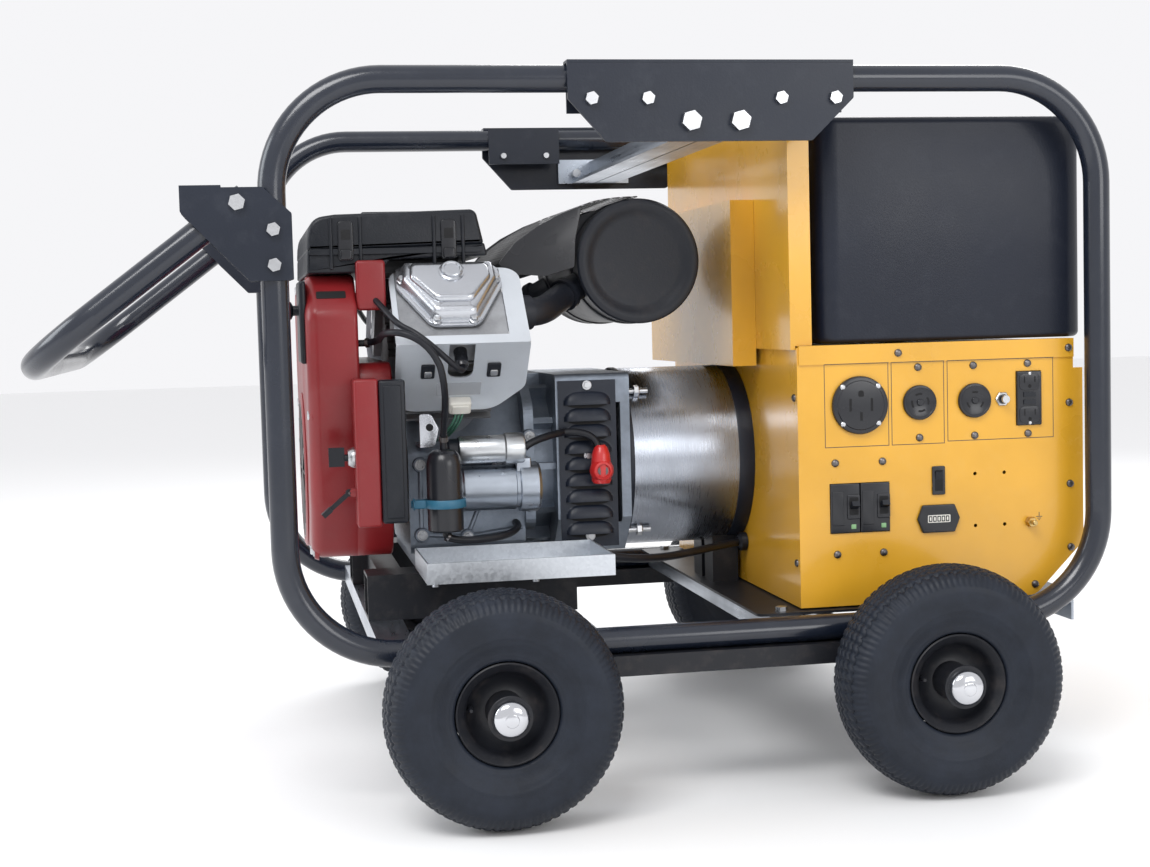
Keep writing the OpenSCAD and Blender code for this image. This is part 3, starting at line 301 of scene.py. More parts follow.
class Val:
    """A shader socket that can be used in arithmetic; every operation is one Math node."""

    def __init__(self, tree, socket):
        self.tree, self.socket = tree, socket

    def math(self, op, *others, swap=False):
        node = self.tree.nodes.new("ShaderNodeMath")
        node.operation = op
        args = [self, *others]
        for slot_in, v in zip(node.inputs, args[::-1] if swap else args):
            if isinstance(v, Val):
                self.tree.links.new(v.socket, slot_in)
            else:
                slot_in.default_value = v
        return Val(self.tree, node.outputs[0])

    __add__ = __radd__ = operator("ADD")
    __sub__, __rsub__ = operator("SUBTRACT"), operator("SUBTRACT", True)
    __mul__ = __rmul__ = operator("MULTIPLY")
    __lt__ = operator("LESS_THAN")
    __abs__ = operator("ABSOLUTE")


def either(a, b):
    return a.math("MAXIMUM", b)


class Shade:
    """One material: a Principled shader and the nodes that feed it."""

    def __init__(self, name, **constants):
        self.mat = bpy.data.materials.new(name)
        self.mat.use_nodes = True
        self.tree = self.mat.node_tree
        self.bsdf = self.tree.nodes["Principled BSDF"]
        for key, value in constants.items():
            self.set(key.replace("_", " "), value)

    def set(self, key, value):
        socket = self.bsdf.inputs[key]
        if isinstance(value, Val):
            self.tree.links.new(value.socket, socket)
        elif isinstance(value, tuple) and len(value) == 3:
            socket.default_value = (*value, 1.0)
        else:
            socket.default_value = value

    def node(self, kind, out=0, settings=(), **inputs):
        """Any other node: its settings, and its inputs as values or links, by name."""
        n = self.tree.nodes.new(kind)
        for key, value in dict(settings).items():
            setattr(n, key, value)
        for key, value in inputs.items():
            socket = n.inputs[key.replace("_", " ")]
            if isinstance(value, Val):
                self.tree.links.new(value.socket, socket)
            elif isinstance(value, tuple) and len(value) == 3 and socket.type == "RGBA":
                socket.default_value = (*value, 1.0)
            else:
                socket.default_value = value
        return Val(self.tree, n.outputs[out])

    def place(self):
        return self.node("ShaderNodeTexCoord", out="Object")

    def xyz(self):
        p = self.place()
        return [self.node("ShaderNodeSeparateXYZ", out=k, Vector=p) for k in range(3)]

    def stretch(self, vector, scale):
        return self.node("ShaderNodeMapping", Vector=vector, Scale=scale)

    def noise(self, scale, detail=3.0, rough=0.5, vector=None):
        vector = self.place() if vector is None else vector
        return self.node("ShaderNodeTexNoise", Vector=vector, Scale=scale, Detail=detail, Roughness=rough)

    def ramp(self, v, lo, hi, to_lo=0.0, to_hi=1.0):
        return self.node("ShaderNodeMapRange", Value=v, From_Min=lo, From_Max=hi, To_Min=to_lo, To_Max=to_hi)

    def mix(self, factor, a, b):
        """Colour a where factor is 0, b where it is 1."""
        n = self.tree.nodes.new("ShaderNodeMix")
        n.data_type = "RGBA"
        for k, value in ((0, factor), (6, a), (7, b)):
            if isinstance(value, Val):
                self.tree.links.new(value.socket, n.inputs[k])
            elif isinstance(value, tuple):
                n.inputs[k].default_value = (*value, 1.0)
            else:
                n.inputs[k].default_value = value
        return Val(self.tree, n.outputs[2])

    def bump(self, height, strength, distance=0.001):
        self.set("Normal", self.node("ShaderNodeBump", Height=height, Strength=strength, Distance=distance))


def painted(name, color, rough=0.35, coat=0.0, peel=0.12, dirt=(0.5, 0.5, 0.5), metallic=0.0, wear=0.15,
            shine=0.5):
    """Sprayed paint: fine orange peel bump, slow tone change and a little dust."""
    s = Shade(name, Metallic=metallic, Coat_Weight=coat, Coat_Roughness=0.12, Specular_IOR_Level=shine)
    slow = s.noise(7.0, 4.0)
    dust = s.ramp(s.noise(38.0, 6.0, 0.65), 0.52, 0.8) * wear
    tone = tuple(c * 0.86 for c in color)
    s.set("Base Color", s.mix(dust, s.mix(s.ramp(slow, 0.35, 0.65), tone, color), dirt))
    s.set("Roughness", rough + s.ramp(slow, 0.3, 0.7, -0.05, 0.06) + dust * 0.4)
    s.bump(s.noise(420.0, 2.0), peel, 0.0006)
    return s


def metal(name, color, rough=0.35, grain=(1, 1, 1), grain_scale=240.0, depth=0.15, spread=0.12, dark=0.75):
    """Bare or plated metal: roughness and tone follow noises, and the fine one may be stretched into brush marks."""
    s = Shade(name, Metallic=1.0)
    v = s.stretch(s.place(), grain)
    fine = s.noise(grain_scale, 3.0, 0.6, v)
    slow = s.noise(14.0, 4.0)
    s.set("Base Color", s.mix(s.ramp(slow, 0.3, 0.7), tuple(c * dark for c in color), color))
    s.set("Roughness",
          rough + s.ramp(fine, 0.3, 0.7, -spread / 2, spread / 2) + s.ramp(slow, 0.3, 0.7, 0.06, -0.03))
    s.bump(fine, depth, 0.0005)
    return s


def cast(name, color, rough=0.5, metallic=0.75):
    """Sand cast metal: two sizes of grain in the bump and darker hollows."""
    s = Shade(name, Metallic=metallic)
    grain = s.noise(260.0, 4.0, 0.7)
    slow = s.noise(18.0, 5.0, 0.6)
    s.set("Base Color", s.mix(s.ramp(slow, 0.35, 0.7), tuple(c * 0.6 for c in color), color))
    s.set("Roughness", rough + s.ramp(grain, 0.3, 0.7, -0.1, 0.12))
    s.bump(grain * 0.7 + slow * 0.3, 0.4, 0.0012)
    return s


grey_dust, plastic_dust = (0.12, 0.13, 0.15), (0.12, 0.12, 0.13)
satin = 0.35
paint_yellow = (0.70, 0.36, 0.022)
frame_black = painted("frame_black", (0.008, 0.012, 0.023), 0.24, coat=0.3, peel=0.08, dirt=grey_dust, wear=0.08)
plate_black = painted("plate_black", (0.010, 0.014, 0.025), 0.38, peel=0.16, dirt=grey_dust, wear=0.10, shine=satin)
base_black = painted("base_black", (0.010, 0.011, 0.015), 0.45, peel=0.2, dirt=(0.12, 0.1, 0.09), wear=0.25,
                     shine=satin)
yellow = painted("yellow_paint", paint_yellow, 0.28, coat=0.5, peel=0.1, dirt=(0.6, 0.4, 0.12), wear=0.06)
red = painted("engine_red", (0.235, 0.014, 0.017), 0.36, coat=0.12, peel=0.2, dirt=(0.2, 0.07, 0.06), wear=0.2,
              shine=0.4)
tank_black = painted("tank_black", (0.007, 0.010, 0.020), 0.4, coat=0.05, peel=0.3, dirt=grey_dust, wear=0.06,
                     shine=0.3)
plastic_black = painted("plastic_black", (0.007, 0.009, 0.014), 0.38, peel=0.3, dirt=plastic_dust, wear=0.08,
                        shine=satin)
air_black = painted("air_black", (0.007, 0.009, 0.014), 0.45, peel=0.4, dirt=plastic_dust, wear=0.12, shine=satin)
gloss_black = painted("gloss_black", (0.013, 0.014, 0.018), 0.26, coat=0.12, peel=0.05, dirt=(0.2, 0.2, 0.2),
                      wear=0.03, shine=0.4)
muffler_black = painted("muffler_black", (0.009, 0.011, 0.017), 0.45, peel=0.35, dirt=(0.07, 0.06, 0.055), wear=0.2,
                        shine=satin)
shroud_silver = painted("shroud_silver", (0.70, 0.74, 0.79), 0.34, metallic=0.6, peel=0.15,
                        dirt=(0.35, 0.34, 0.32), wear=0.12)
cover_silver = painted("cover_silver", (0.58, 0.60, 0.64), 0.26, metallic=0.9, peel=0.2, dirt=(0.4, 0.39, 0.37),
                       wear=0.06)
steel_plate = metal("zinc_plate", (0.66, 0.68, 0.70), 0.3, grain_scale=90.0, depth=0.06)
bolt_zinc = metal("bolt_zinc", (0.60, 0.61, 0.63), 0.3, depth=0.05)
chrome = metal("chrome", (0.62, 0.63, 0.66), 0.14, depth=0.02, spread=0.06, dark=0.92)
dark_steel = metal("dark_steel", (0.16, 0.15, 0.15), depth=0.05)
bar_steel = metal("bar_steel", (0.42, 0.46, 0.52), 0.32, (1, 0.05, 1), depth=0.1)
shell_alu = metal("shell_alu", (0.42, 0.45, 0.51), 0.27, (20.0, 0.6, 0.6), 60.0, depth=0.05, spread=0.10)
copper = metal("winding_copper", (0.45, 0.2, 0.09), 0.4, (0.2, 1, 1), depth=0.4)
brass = metal("brass", (0.62, 0.44, 0.18), 0.28)
cast_alu = cast("cast_alu", (0.27, 0.31, 0.37), 0.42)
cast_dark = cast("cast_dark", (0.20, 0.22, 0.25))
fin_alu = cast("fin_alu", (0.42, 0.43, 0.45), 0.45)
iron = cast("iron", (0.17, 0.16, 0.16))
# near black for painted shade: flat pieces that stand in for the shade inside holes, slots and openings
painted_shade_black = painted("painted_shade_black", (0.004, 0.004, 0.005), 0.8, peel=0.0, wear=0.0)
boot_red = painted("boot_red", (0.55, 0.02, 0.02), coat=0.2, peel=0.1, wear=0.05)
tint_grey = painted("blank_plate", (0.34, 0.36, 0.39), 0.4, peel=0.05, wear=0.1)
tab_green = painted("tab_green", (0.22, 0.42, 0.20), 0.4, peel=0.05, wear=0.05)
wire_green = painted("wire_green", (0.05, 0.16, 0.11), 0.4, peel=0.05, wear=0.05)
clamp_blue = painted("clamp_blue", (0.02, 0.12, 0.2), 0.4, peel=0.1, wear=0.1)
cable_black = painted("cable_black", (0.006, 0.007, 0.011), 0.42, peel=0.2, dirt=(0.1, 0.1, 0.1), wear=0.1,
                      shine=satin)
white_plastic = painted("white_plastic", (0.78, 0.76, 0.70), 0.4, peel=0.1, dirt=(0.3, 0.28, 0.25), wear=0.2)


def rubber(name, color, rough):
    """Tyre rubber: dull, with a slightly greyer bloom where the noise is high."""
    s = Shade(name, Specular_IOR_Level=0.3)
    bloom = s.ramp(s.noise(26.0, 6.0, 0.7), 0.4, 0.75)
    s.set("Base Color", s.mix(bloom, color, tuple(c * 1.7 + 0.004 for c in color)))
    s.set("Roughness", rough + bloom * 0.12)
    s.bump(s.noise(500.0, 3.0), 0.3, 0.0005)
    return s


tyre_rubber = rubber("tyre_rubber", (0.006, 0.009, 0.016), 0.46)


def galvanised():
    """Zinc spangle: cells of slightly different tone and roughness."""
    s = Shade("galvanised", Metallic=1.0)
    cell = s.node("ShaderNodeTexVoronoi", out="Color", Vector=s.place(), Scale=320.0)
    tone = s.node("ShaderNodeSeparateColor", Color=cell)
    s.set("Base Color", s.mix(tone, (0.56, 0.59, 0.63), (0.63, 0.66, 0.70)))
    s.set("Roughness", s.ramp(tone, 0.0, 1.0, 0.36, 0.46))
    s.bump(s.noise(200.0), 0.08, 0.0005)
    return s


zinc = galvanised()


def perforated():
    """Black sheet with rows of round holes: a point is in a hole where its distance to the nearest cell middle is
    under a third of the cell; rows run across the unit and along the slope."""
    s = Shade("guard_sheet", Metallic=0.2, Roughness=0.5)
    x, y, z = s.xyz()
    along = x * 0.84 + z * 0.55
    cell = s.node("ShaderNodeCombineXYZ", X=along + y, Y=along - y)
    away = s.node("ShaderNodeTexVoronoi", settings={"voronoi_dimensions": "2D"}, Vector=cell, Scale=88.0,
                  Randomness=0.0)
    tone = s.ramp(s.noise(12.0, 4.0), 0.35, 0.7)
    s.set("Base Color", s.mix(tone, (0.030, 0.031, 0.034), (0.06, 0.06, 0.062)))
    s.set("Alpha", 1 - (away < 0.33))
    return s


guard_sheet = perforated()

# ---------------------------------------------------------------- wheels
TREAD_RINGS, TREAD_STEPS = 132, 576
WAVES, SHOULDER_NOTCHES = 72, 108  # round the tyre
GROOVES = (-26, -15.6, -5.2, 5.2, 15.6, 26)  # mm from the tyre's middle
GROOVE_DEPTH, NOTCH_DEPTH, CUT_DEPTH = 3.0, 1.5, 1.2


def tread():
    """Radius and width, in mm, of a tyre's surface with its tread: radius = section - depth * groove, where the
    grooves sit at fixed distances from the middle and wander in a triangle wave of the turning angle, and the
    shoulders have square notches."""
    section = np.array([(56, 25), (57, 30), (60, 32.6), (61.5, 32.2), (63, 33.4), (66, 33.8), (71, 35.8),
                        (76, 38.2), (81, 40), (82, 40.8), (85, 41.4), (86, 41.2), (95, 42.3), (104, 42.4),
                        (110, 41.2), (115, 38.8), (119, 35.8), (123, 31), (126, 25), (128.3, 16), (129.5, 8),
                        (130, 0)], float)
    full = np.concatenate([section, section[-2::-1] * [1, -1]])
    step = np.concatenate([[0], np.cumsum(np.linalg.norm(np.diff(full, axis=0), axis=1))])
    s = np.linspace(0, step[-1], TREAD_RINGS)
    rad, w = np.interp(s, step, full[:, 0]), np.interp(s, step, full[:, 1])
    a = np.linspace(0, 2 * np.pi, TREAD_STEPS, endpoint=False)
    wave = np.abs(((a * WAVES / (2 * np.pi)) % 1) - 0.5) * 4 - 1
    wander = w[:, None] + 1.7 * wave[None, :]
    crown = np.clip((rad - 121) / 3, 0, 1)[:, None]
    groove = sum(np.exp(-(((wander - g) / 1.25) ** 4)) for g in GROOVES)
    shoulder = np.exp(-(((rad - 117.5) / 6.5) ** 6))[:, None]
    notch = shoulder * (0.5 + 0.5 * np.tanh(4 * np.sin(a * SHOULDER_NOTCHES)))[None, :]
    cut = (0.5 + 0.5 * np.tanh(5 * (np.sin(a * WAVES) - 0.55)))[None, :] * crown
    outer = rad[:, None] - GROOVE_DEPTH * np.clip(groove, 0, 1) * crown - NOTCH_DEPTH * notch - CUT_DEPTH * cut
    inner = np.array([(56, -21), (66, -27), (98, -36), (116, -28), (122, 0), (116, 28), (98, 36), (66, 27),
                      (56, 21)])
    return (np.concatenate([outer, np.repeat(inner[:, :1], TREAD_STEPS, 1)]),
            np.repeat(np.concatenate([w, inner[:, 1]])[:, None], TREAD_STEPS, 1))


tread_r, tread_w = tread()
rim_half = np.array([(9.6, -40), (20, -40), (21, -39), (21, -5), (23, -4), (30, -4.5), (36, -8), (41, -13),
                     (43, -17), (44, -22), (47, -26), (51, -28.5), (52.5, -30), (54, -31), (55.4, -30),
                     (55.6, -27), (54, -25), (49, -22), (46.5, -18), (46, 0)])
rim_r, rim_w = (np.repeat(v[:, None], 96, 1) for v in np.concatenate([rim_half, rim_half[-2::-1] * [1, -1]]).T)
cap_lo, cap_hi = corners("axle_caps")
cap_parts, washer_parts = [], []
for index in (1, 2, 3, 4):
    tyre_lo, tyre_hi = corners(f"tyre_{index}")
    mid, body = (tyre_lo + tyre_hi) / 2, f"wheel_{index}"
    sign, way = (-1, "-y") if mid[1] < 0 else (1, "y")
    tyre = solids(f"tread_tyre_{index}", [about_axle(mid, tread_r, tread_w)], tyre_rubber, body, sharp=50)
    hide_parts(f"tyre_{index}")
    stem = revolve([(0, 0), (3.4, 0), (3.2, 6), (2.2, 8), (2.2, 17), (1.8, 18), (0, 18)],
                   mid + np.array([-0.0385, sign * 0.010, 0.006]), way, 20)
    rim = solids(f"pressed_rim_{index}", [about_axle(mid, rim_r, rim_w), stem], base_black, body)
    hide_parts(f"rim_{index}")
    face = cap_hi[1] if sign > 0 else cap_lo[1]
    o = np.array([mid[0], face - sign * 0.016, mid[2]])
    cap_parts.append(revolve([(0, 2), (20.4, 2), (20.6, 3), (20, 5), (19.4, 8), (17.6, 11), (14.6, 13.2),
                              (10.6, 14.6), (7.6, 15), (7, 15.7), (6, 16), (0, 16)], o, way, 64))
    washer_parts.append(revolve([(9.6, 0), (24, 0), (24, 2.6), (23.2, 3.2), (19, 3.2), (9.6, 3)], o, way, 64))
caps = solids("chrome_axle_caps", cap_parts, chrome, sharp=25)
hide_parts("axle_caps")
solids("axle_washers", washer_parts, base_black)

# ---------------------------------------------------------------- fuel tank
tank_lo, tank_hi = box_mm("fuel_tank")
tank_top = tank_hi[2] - 11
filler = at(300, 0, tank_top)
tank = solids("moulded_tank", [
    slab(round_rect(tank_lo[0], tank_lo[1], tank_hi[0], tank_hi[1], 24, 10), tank_lo[2], tank_top, 7, 9, n=7),
    revolve([(21, -2), (24, -2), (24, 10), (23, 11), (21, 11)], filler, "z", 48),
    revolve([(0, -1), (33, -1), (32, 1.2), (26, 1.6), (0, 1.6)], filler, "z", 48),
], tank_black)
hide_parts("fuel_tank")

# ---------------------------------------------------------------- engine
crank_z = (corners("crankshaft")[0][2] + corners("crankshaft")[1][2]) * 500
head_x = -272.0
tilt = math.sqrt(0.5)


def bank(s):
    """Turn and origin of a cylinder bank: local z runs out along the bore, local y up over the head."""
    turn_x = np.array([[1, 0, 0], [0, tilt, -s * tilt], [0, s * tilt, tilt]])
    return turn_x @ np.diag([1.0, s, 1.0]), np.array([head_x, 0.0, crank_z])


def in_bank(s, x, y, z):
    r, o = bank(s)
    return at(*(r @ np.array([x, y, z], float) + o))


cover_corners = np.array([[-60, 58, 12], [60, 58, 12], [63, 22, 16], [30, -42, 18], [-26, -42, 18], [-62, 22, 16]],
                         float)
cover_base = rounded_outline(cover_corners, 10)
cover_top = rounded_outline(cover_corners * [0.76, 0.60, 0.7] + [0, 15 * 0.40, 0], 10)
cover_parts, cover_bolts = [], []
for s in (1, -1):
    spot = bank(s)
    cover_parts += [
        loft(cover_base, [(0.4, 289.3), (0, 290), (0, 292.6), (0.5, 293.6), (1.6, 294), (4.2, 294), (5.0, 294.6),
                          (6.0, 298), (7.4, 303), (9.0, 306), (11.5, 308), (15, 309), (19, 309.2)], frame_at=spot),
        slab(cover_top, 305, 315, 1, 6, frame_at=spot, n=9),
        revolve([(0, 312), (15.5, 312), (15, 316), (13, 317), (12.6, 320), (11.4, 321), (9.4, 321), (8.6, 319.6),
                 (0, 319.2)], in_bank(s, 2, 24, 0), spot[0], 48),
    ]
    for bx, by in ((-55, 30), (56, 30), (23, -37), (-20, -37)):
        cover_bolts.append(revolve([(0, 0), (6.4, 0), (6.2, 1.2), (4.6, 1.8), (4.4, 5.6), (3.6, 6.4), (0, 6.4)],
                                   in_bank(s, bx, by, 295.4), spot[0], 6))
covers = solids("pressed_head_covers", cover_parts, cover_silver)
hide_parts("head_covers")
solids("head_cover_bolts", cover_bolts, bolt_zinc)

# on the shroud sheet of each bank: clips; on the near one a blank plate and a lead connector; below it a bracket
near = {"plane": "xz", "frame_at": bank(1)}
clip_parts, hook_parts = [], []
for s in (1, -1):
    for x in (-31, 46):
        spot = {"plane": "xz", "frame_at": bank(s)}
        clip_parts.append(slab(round_rect(x - 8, 234, x + 8, 256, 2), -70.4, -67.6, 0.8, **spot))
        hook_parts.append(slab(round_rect(x - 4.4, 238, x + 4.4, 247, 2), -72.4, -70, 0.8, **spot))
wire_parts = []
for dx, dz in ((0, 0), (4, -3), (8, 1)):
    a = bank(1)[0] @ np.array([5 + dx, -75, 181.0]) + bank(1)[1]
    wire_parts.append(tube(bezier(a, a + [-3, -6, -16], (-281 + dx, -150 + dz, 408), (-288 + dx, -119, 398 - dz),
                                  20), 1.5, 10))
solids("shroud_clips", clip_parts, plastic_black)
solids("shroud_clip_hooks", hook_parts, bolt_zinc)
solids("blank_plate", [slab(round_rect(-19, 203, 33, 224, 1.5), -68.5, -67.6, 0.2, **near)], tint_grey)
solids("lead_connector", [slab(round_rect(-4, 181, 22, 200, 3), -80, -67.6, 2.5, **near),
                          slab(round_rect(-1, 184, 19, 197, 2), -82, -79, 1, **near)], white_plastic)
solids("connector_wires", wire_parts, wire_green)
bracket = [[-310, 436, 3], [-296, 436, 8], [-287, 418, 5], [-292, 398, 3], [-310, 398, 3]]
solids("drilled_bracket", [side_slab(rounded_outline(bracket), -172, -169.6, 0.4),
                           block((-310, -170, 396), (-294, -117.6, 400), 0.6)], cover_silver)
# a thin near black disc on the bracket is painted shade where its hole is
solids("bracket_hole_shade", [revolve([(0, 0), (4.4, 0), (4.4, 0.5), (0, 0.5)], at(-298, -171.9, 420), "-y", 24)],
       painted_shade_black)

# cast bosses, ribs and screws on the crankcase's side walls
boss_parts, boss_bolts = [], []
wall, flange, flange_x = 118, 126, -172
foot, heel, front, top = (-306, 286), (-250, 282), (-306, 372), (-212, 372)
for s, way in ((-1, "-y"), (1, "y")):
    for (x, z), y in (*(((flange_x, z), flange) for z in (402, 360, 318)), (foot, wall), (heel, wall),
                      (front, wall), (top, wall)):
        boss_parts.append(revolve([(0, -3), (9.5, -3), (8.6, 5), (8, 6), (0, 6)], at(x, s * y, z), way, 32))
        boss_bolts += hex_bolt(x, s * (y + 6), z, 5, 4.4, way, 6.6)
    for (x0, z0), (x1, z1) in ((foot, heel), (heel, (flange_x - 10, 290)), (front, foot), (front, top), (top, heel),
                               (top, (flange_x - 10, 360))):
        rib_y = s * (wall + 0.4)
        boss_parts.append(tube(np.linspace((x0, rib_y, z0), (x1, rib_y, z1), 6), 2.8, 10))
solids("crankcase_bosses", boss_parts, cast_alu)
solids("crankcase_screws", boss_bolts, bolt_zinc)

# the air cleaner's cover: two shells, a raised panel, a lip on each side, ribs and latches
(ax0, _, az0), (ax1, ay, az1) = box_mm("air_cleaner_cover")
air_upper = [[ax0 + 1, az0 + 26, 3], [ax0 + 2, az1 - 30, 6], [ax0 + 6, az1 - 8, 20], [ax0 + 34, az1 - 4, 10],
             [ax1 - 13, az1, 9], [ax1 - 4, az0 + 31, 3]]
air_lower = [[ax0 + 0.5, az0, 3], [ax0 + 1.5, az0 + 27, 2], [ax1 - 3.5, az0 + 32, 2], [ax1, az0 + 17, 3],
             [ax1 - 115, az0 + 15, 6], [ax1 - 129, az0, 3]]
air_parts = [side_slab(rounded_outline(air_upper), -ay, ay, 5, n=6),
             side_slab(rounded_outline(air_lower), -ay + 2, ay - 2, 3),
             block((ax0 + 66, -ay + 16, az1 - 6), (ax0 + 142, ay - 16, az1 - 0.8), 2.5)]
for s in (-1, 1):
    lip = round_rect(ax0 + 4, az0 + 21, ax1 - 8, az0 + 28, 2)
    air_parts.append(side_slab(lip, s * (ay - 8), s * (ay + 0.8), 0.8))
latch_parts, latch_window_shade = [], []
for s in (-1, 1):
    lo_y, hi_y = sorted((s * (ay - 7), s * (ay + 2.5)))
    for x in (ax0 + 46, ax1 - 46):
        for dx in (-19, 15):
            air_parts.append(side_slab(round_rect(x + dx, az0 + 4, x + dx + 4, az1 - 7, 1.5), lo_y, hi_y - 0.4, 1.5))
        latch_parts += [side_slab(round_rect(x - 9, az0 + 14, x + 9, az1 - 12, 4), lo_y, hi_y - 0.6, 1.5),
                        side_slab(round_rect(x - 7, az0 + 15, x + 7, az0 + 27, 3), s * ay, s * (ay + 7.5), 2)]
        # the window in each latch is a near black slab: painted shade in the opening
        window = round_rect(x - 5.5, az0 + 38, x + 5.5, az0 + 50, 1)
        latch_window_shade.append(side_slab(window, s * ay, s * (ay + 2.6), 0.3))
air = solids("ribbed_air_cleaner_cover", air_parts, air_black, "air_cleaner_cover")
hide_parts("air_cleaner_cover")
solids("air_cleaner_latches", latch_parts, gloss_black, "air_cleaner_cover")
solids("latch_window_painted_shade", latch_window_shade, painted_shade_black, "air_cleaner_cover")

# the blower housing: a scroll over the fan and a duct behind it
(fx0, _, _), (fx1, _, _) = box_mm("fan_housing")
fan_middle = at(fx0, 0, crank_z)
scroll = rounded_outline([[-128, 264, 30], [128, 264, 30], [168, 330, 60], [206, 470, 60], [206, 560, 30],
                          [160, 603, 34], [-160, 603, 34], [-206, 560, 30], [-206, 470, 60], [-168, 330, 60]], 9)
duct = rounded_outline([[-128, 264, 30], [128, 264, 30], [168, 330, 50], [199, 450, 40], [190, 499, 24],
                        [-190, 499, 24], [-199, 450, 40], [-168, 330, 50]], 9)
fan_parts = [slab(scroll, fx0, fx0 + 60, 15, 5, plane="yz", n=7), slab(duct, fx0 + 50, fx1, 5, 3, plane="yz"),
             revolve([(86, -2), (97, -2), (97, 1.5), (93, 3.4), (88, 3.4), (86, 1.5)], fan_middle, "-x", 96)]
fan_screws = []
for y, z in ((-190, 440), (190, 440), (-120, 274), (120, 274), (-130, 590), (130, 590)):
    fan_parts.append(revolve([(0, 0), (13, 0), (11, 5), (0, 5)], at(fx0 + 9, y * 0.96, z), "-x", 32))
    fan_screws += hex_bolt(fx0 + 4, y * 0.96, z, 6, 5, "-x", 8)
fan_parts.append(block((-380, -196, 560), (-346, -176, 618), 4))
blower = solids("blower_housing", fan_parts, red, sharp=40)
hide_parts("fan_housing")
grille = [revolve([(r - 1.3, 0), (r + 1.3, 0), (r + 1.3, 2.6), (r - 1.3, 2.6)], at(fx0 - 0.6, 0, crank_z), "-x", 64)
          for r in (14, 26, 38, 50, 62, 74, 85)]
hub = np.array([fx0 - 2.4, 0.0, crank_z])
for k in range(8):
    t = math.radians(22.5 * k)
    spoke = np.array([0.0, math.cos(t), math.sin(t)]) * 87
    grille.append(tube(np.linspace(hub - spoke, hub + spoke, 6), 1.5, 8, ref=(1, 0, 0)))
# a flat black disc under the grille is painted shade in the fan's inlet opening
solids("fan_inlet_shade_disc", [revolve([(0, 0), (87, 0), (87, 0.8), (0, 0.8)], at(fx0 - 0.1, 0, crank_z), "-x", 64)],
       cable_black)
solids("fan_inlet_grille", grille, dark_steel)
solids("blower_bolts", fan_screws, bolt_zinc)
solids("side_knob", [revolve([(0, -1), (6, -1), (6, 7), (10, 9), (11.4, 13), (10.4, 17.5), (8, 19), (0, 19.4)],
                             at(fx0 - 5, -150, 562), "-x", 40)], plastic_black)
solids("edge_guard", [block((fx0 - 6, -188, 500), (fx0 + 2, -96, 596), 3)], plastic_black)
shoulder_turn = np.array([[1, 0, 0], [0, 0.73, -0.683], [0, 0.683, 0.73]])
# a near black slab in the blower's shoulder is painted shade where a slot is
solids("blower_slot_shade", [slab(round_rect(-16, -6, 18, 6, 2), -1.5, 0.5, 0.2,
                                 frame_at=(shoulder_turn, np.array([fx0 + 30, -186.0, 579.0])))], painted_shade_black)

# switch box, relay cover and throttle clevis
box_parts = [block((-390, -242, 312), (-362, -206, 482), 3.5), block((-378, -207, 385), (-366, -187.6, 400), 1)]
clevis = rounded_outline([[-398, 347, 5], [-389, 347, 0.1], [-389, 357, 0.1], [-398, 357, 5]])
box_parts += [side_slab(clevis, y, y + 3, 0.3) for y in (-232, -223)]
switch_box = solids("switch_box", box_parts, red)
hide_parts("engine_box")
solids("relay_cover", [block((-361.6, -246, 316), (-332, -214, 480), 3),
                       block((-357, -248, 322), (-337, -245, 474), 1.2)], plastic_black)
solids("key_switch_nut", [revolve([(4.4, -0.4), (11.5, -0.4), (12, 1), (11, 5), (9, 8), (4.4, 8)],
                                  at(-390, -224, 392), "-x", 24)], bolt_zinc)
solids("clevis_pin", [revolve([(0, -6), (1.5, -6), (1.5, 6), (0, 6)], at(-398, -226, 352), "y", 16)], dark_steel)

# ---------------------------------------------------------------- exhaust
muf_lo, muf_hi = box_mm("muffler")
mx, mz = muf_hi[0] - 76, muf_hi[2] - 79
half_y = -muf_lo[1]
end = [(0, 6), (52, 6), (57, 5.2), (61, 2.6), (66, 0.6), (70, 0), (74, 1.2), (76, 4), (76, 11), (74.4, 14)]
body_prof = [(r, -half_y + h) for r, h in end] + [(r, half_y - h) for r, h in end[::-1]]
muffler_parts = [
    revolve(body_prof, at(mx, 0, mz), "y", 96),
    revolve([(14.8, half_y - 12), (17, half_y - 12), (17, muf_hi[1]), (14.8, muf_hi[1])], at(mx, 0, mz - 34), "y", 40),
    *[revolve([(74, y - 9), (76, y - 9), (76.4, y - 7), (76.4, y + 7), (76, y + 9), (74, y + 9)], at(mx, 0, mz), "y",
              96) for y in (-92, 92)]]
muffler = solids("rolled_muffler", muffler_parts, muffler_black, sharp=30)
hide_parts("muffler")
# the guard: a curved perforated sheet over the exhaust elbows with a solid cheek at each end
sheet_line = np.concatenate([bezier((-206, 0, 613), (-180, 0, 643), (-140, 0, 667), (-96, 0, 683), 24),
                             bezier((-92, 0, 684.4), (-76, 0, 688.6), (-60, 0, 690), (-34, 0, 690.6), 10)])[:, [0, 2]]
sheet_ring = np.concatenate([sheet_line, sheet_line[::-1] - [0, 1.5]])
solids("perforated_guard", [side_slab(sheet_ring, -150, 150, 0.3, n=2)], guard_sheet, sharp=50)
cheek = rounded_outline([[-207, 612, 2], [-186, 637, 20], [-160, 655, 20], [-128, 671, 20], [-103, 680, 4],
                         [-112, 640, 8], [-114, 606, 4], [-150, 596, 6], [-196, 600, 4]])
boss_scale = 0.16  # the raised boss in the middle of a cheek is the cheek's outline made smaller
boss_spot = (np.diag([boss_scale, 1, boss_scale]), np.array([-140, 0, 640]) * (1 - boss_scale))
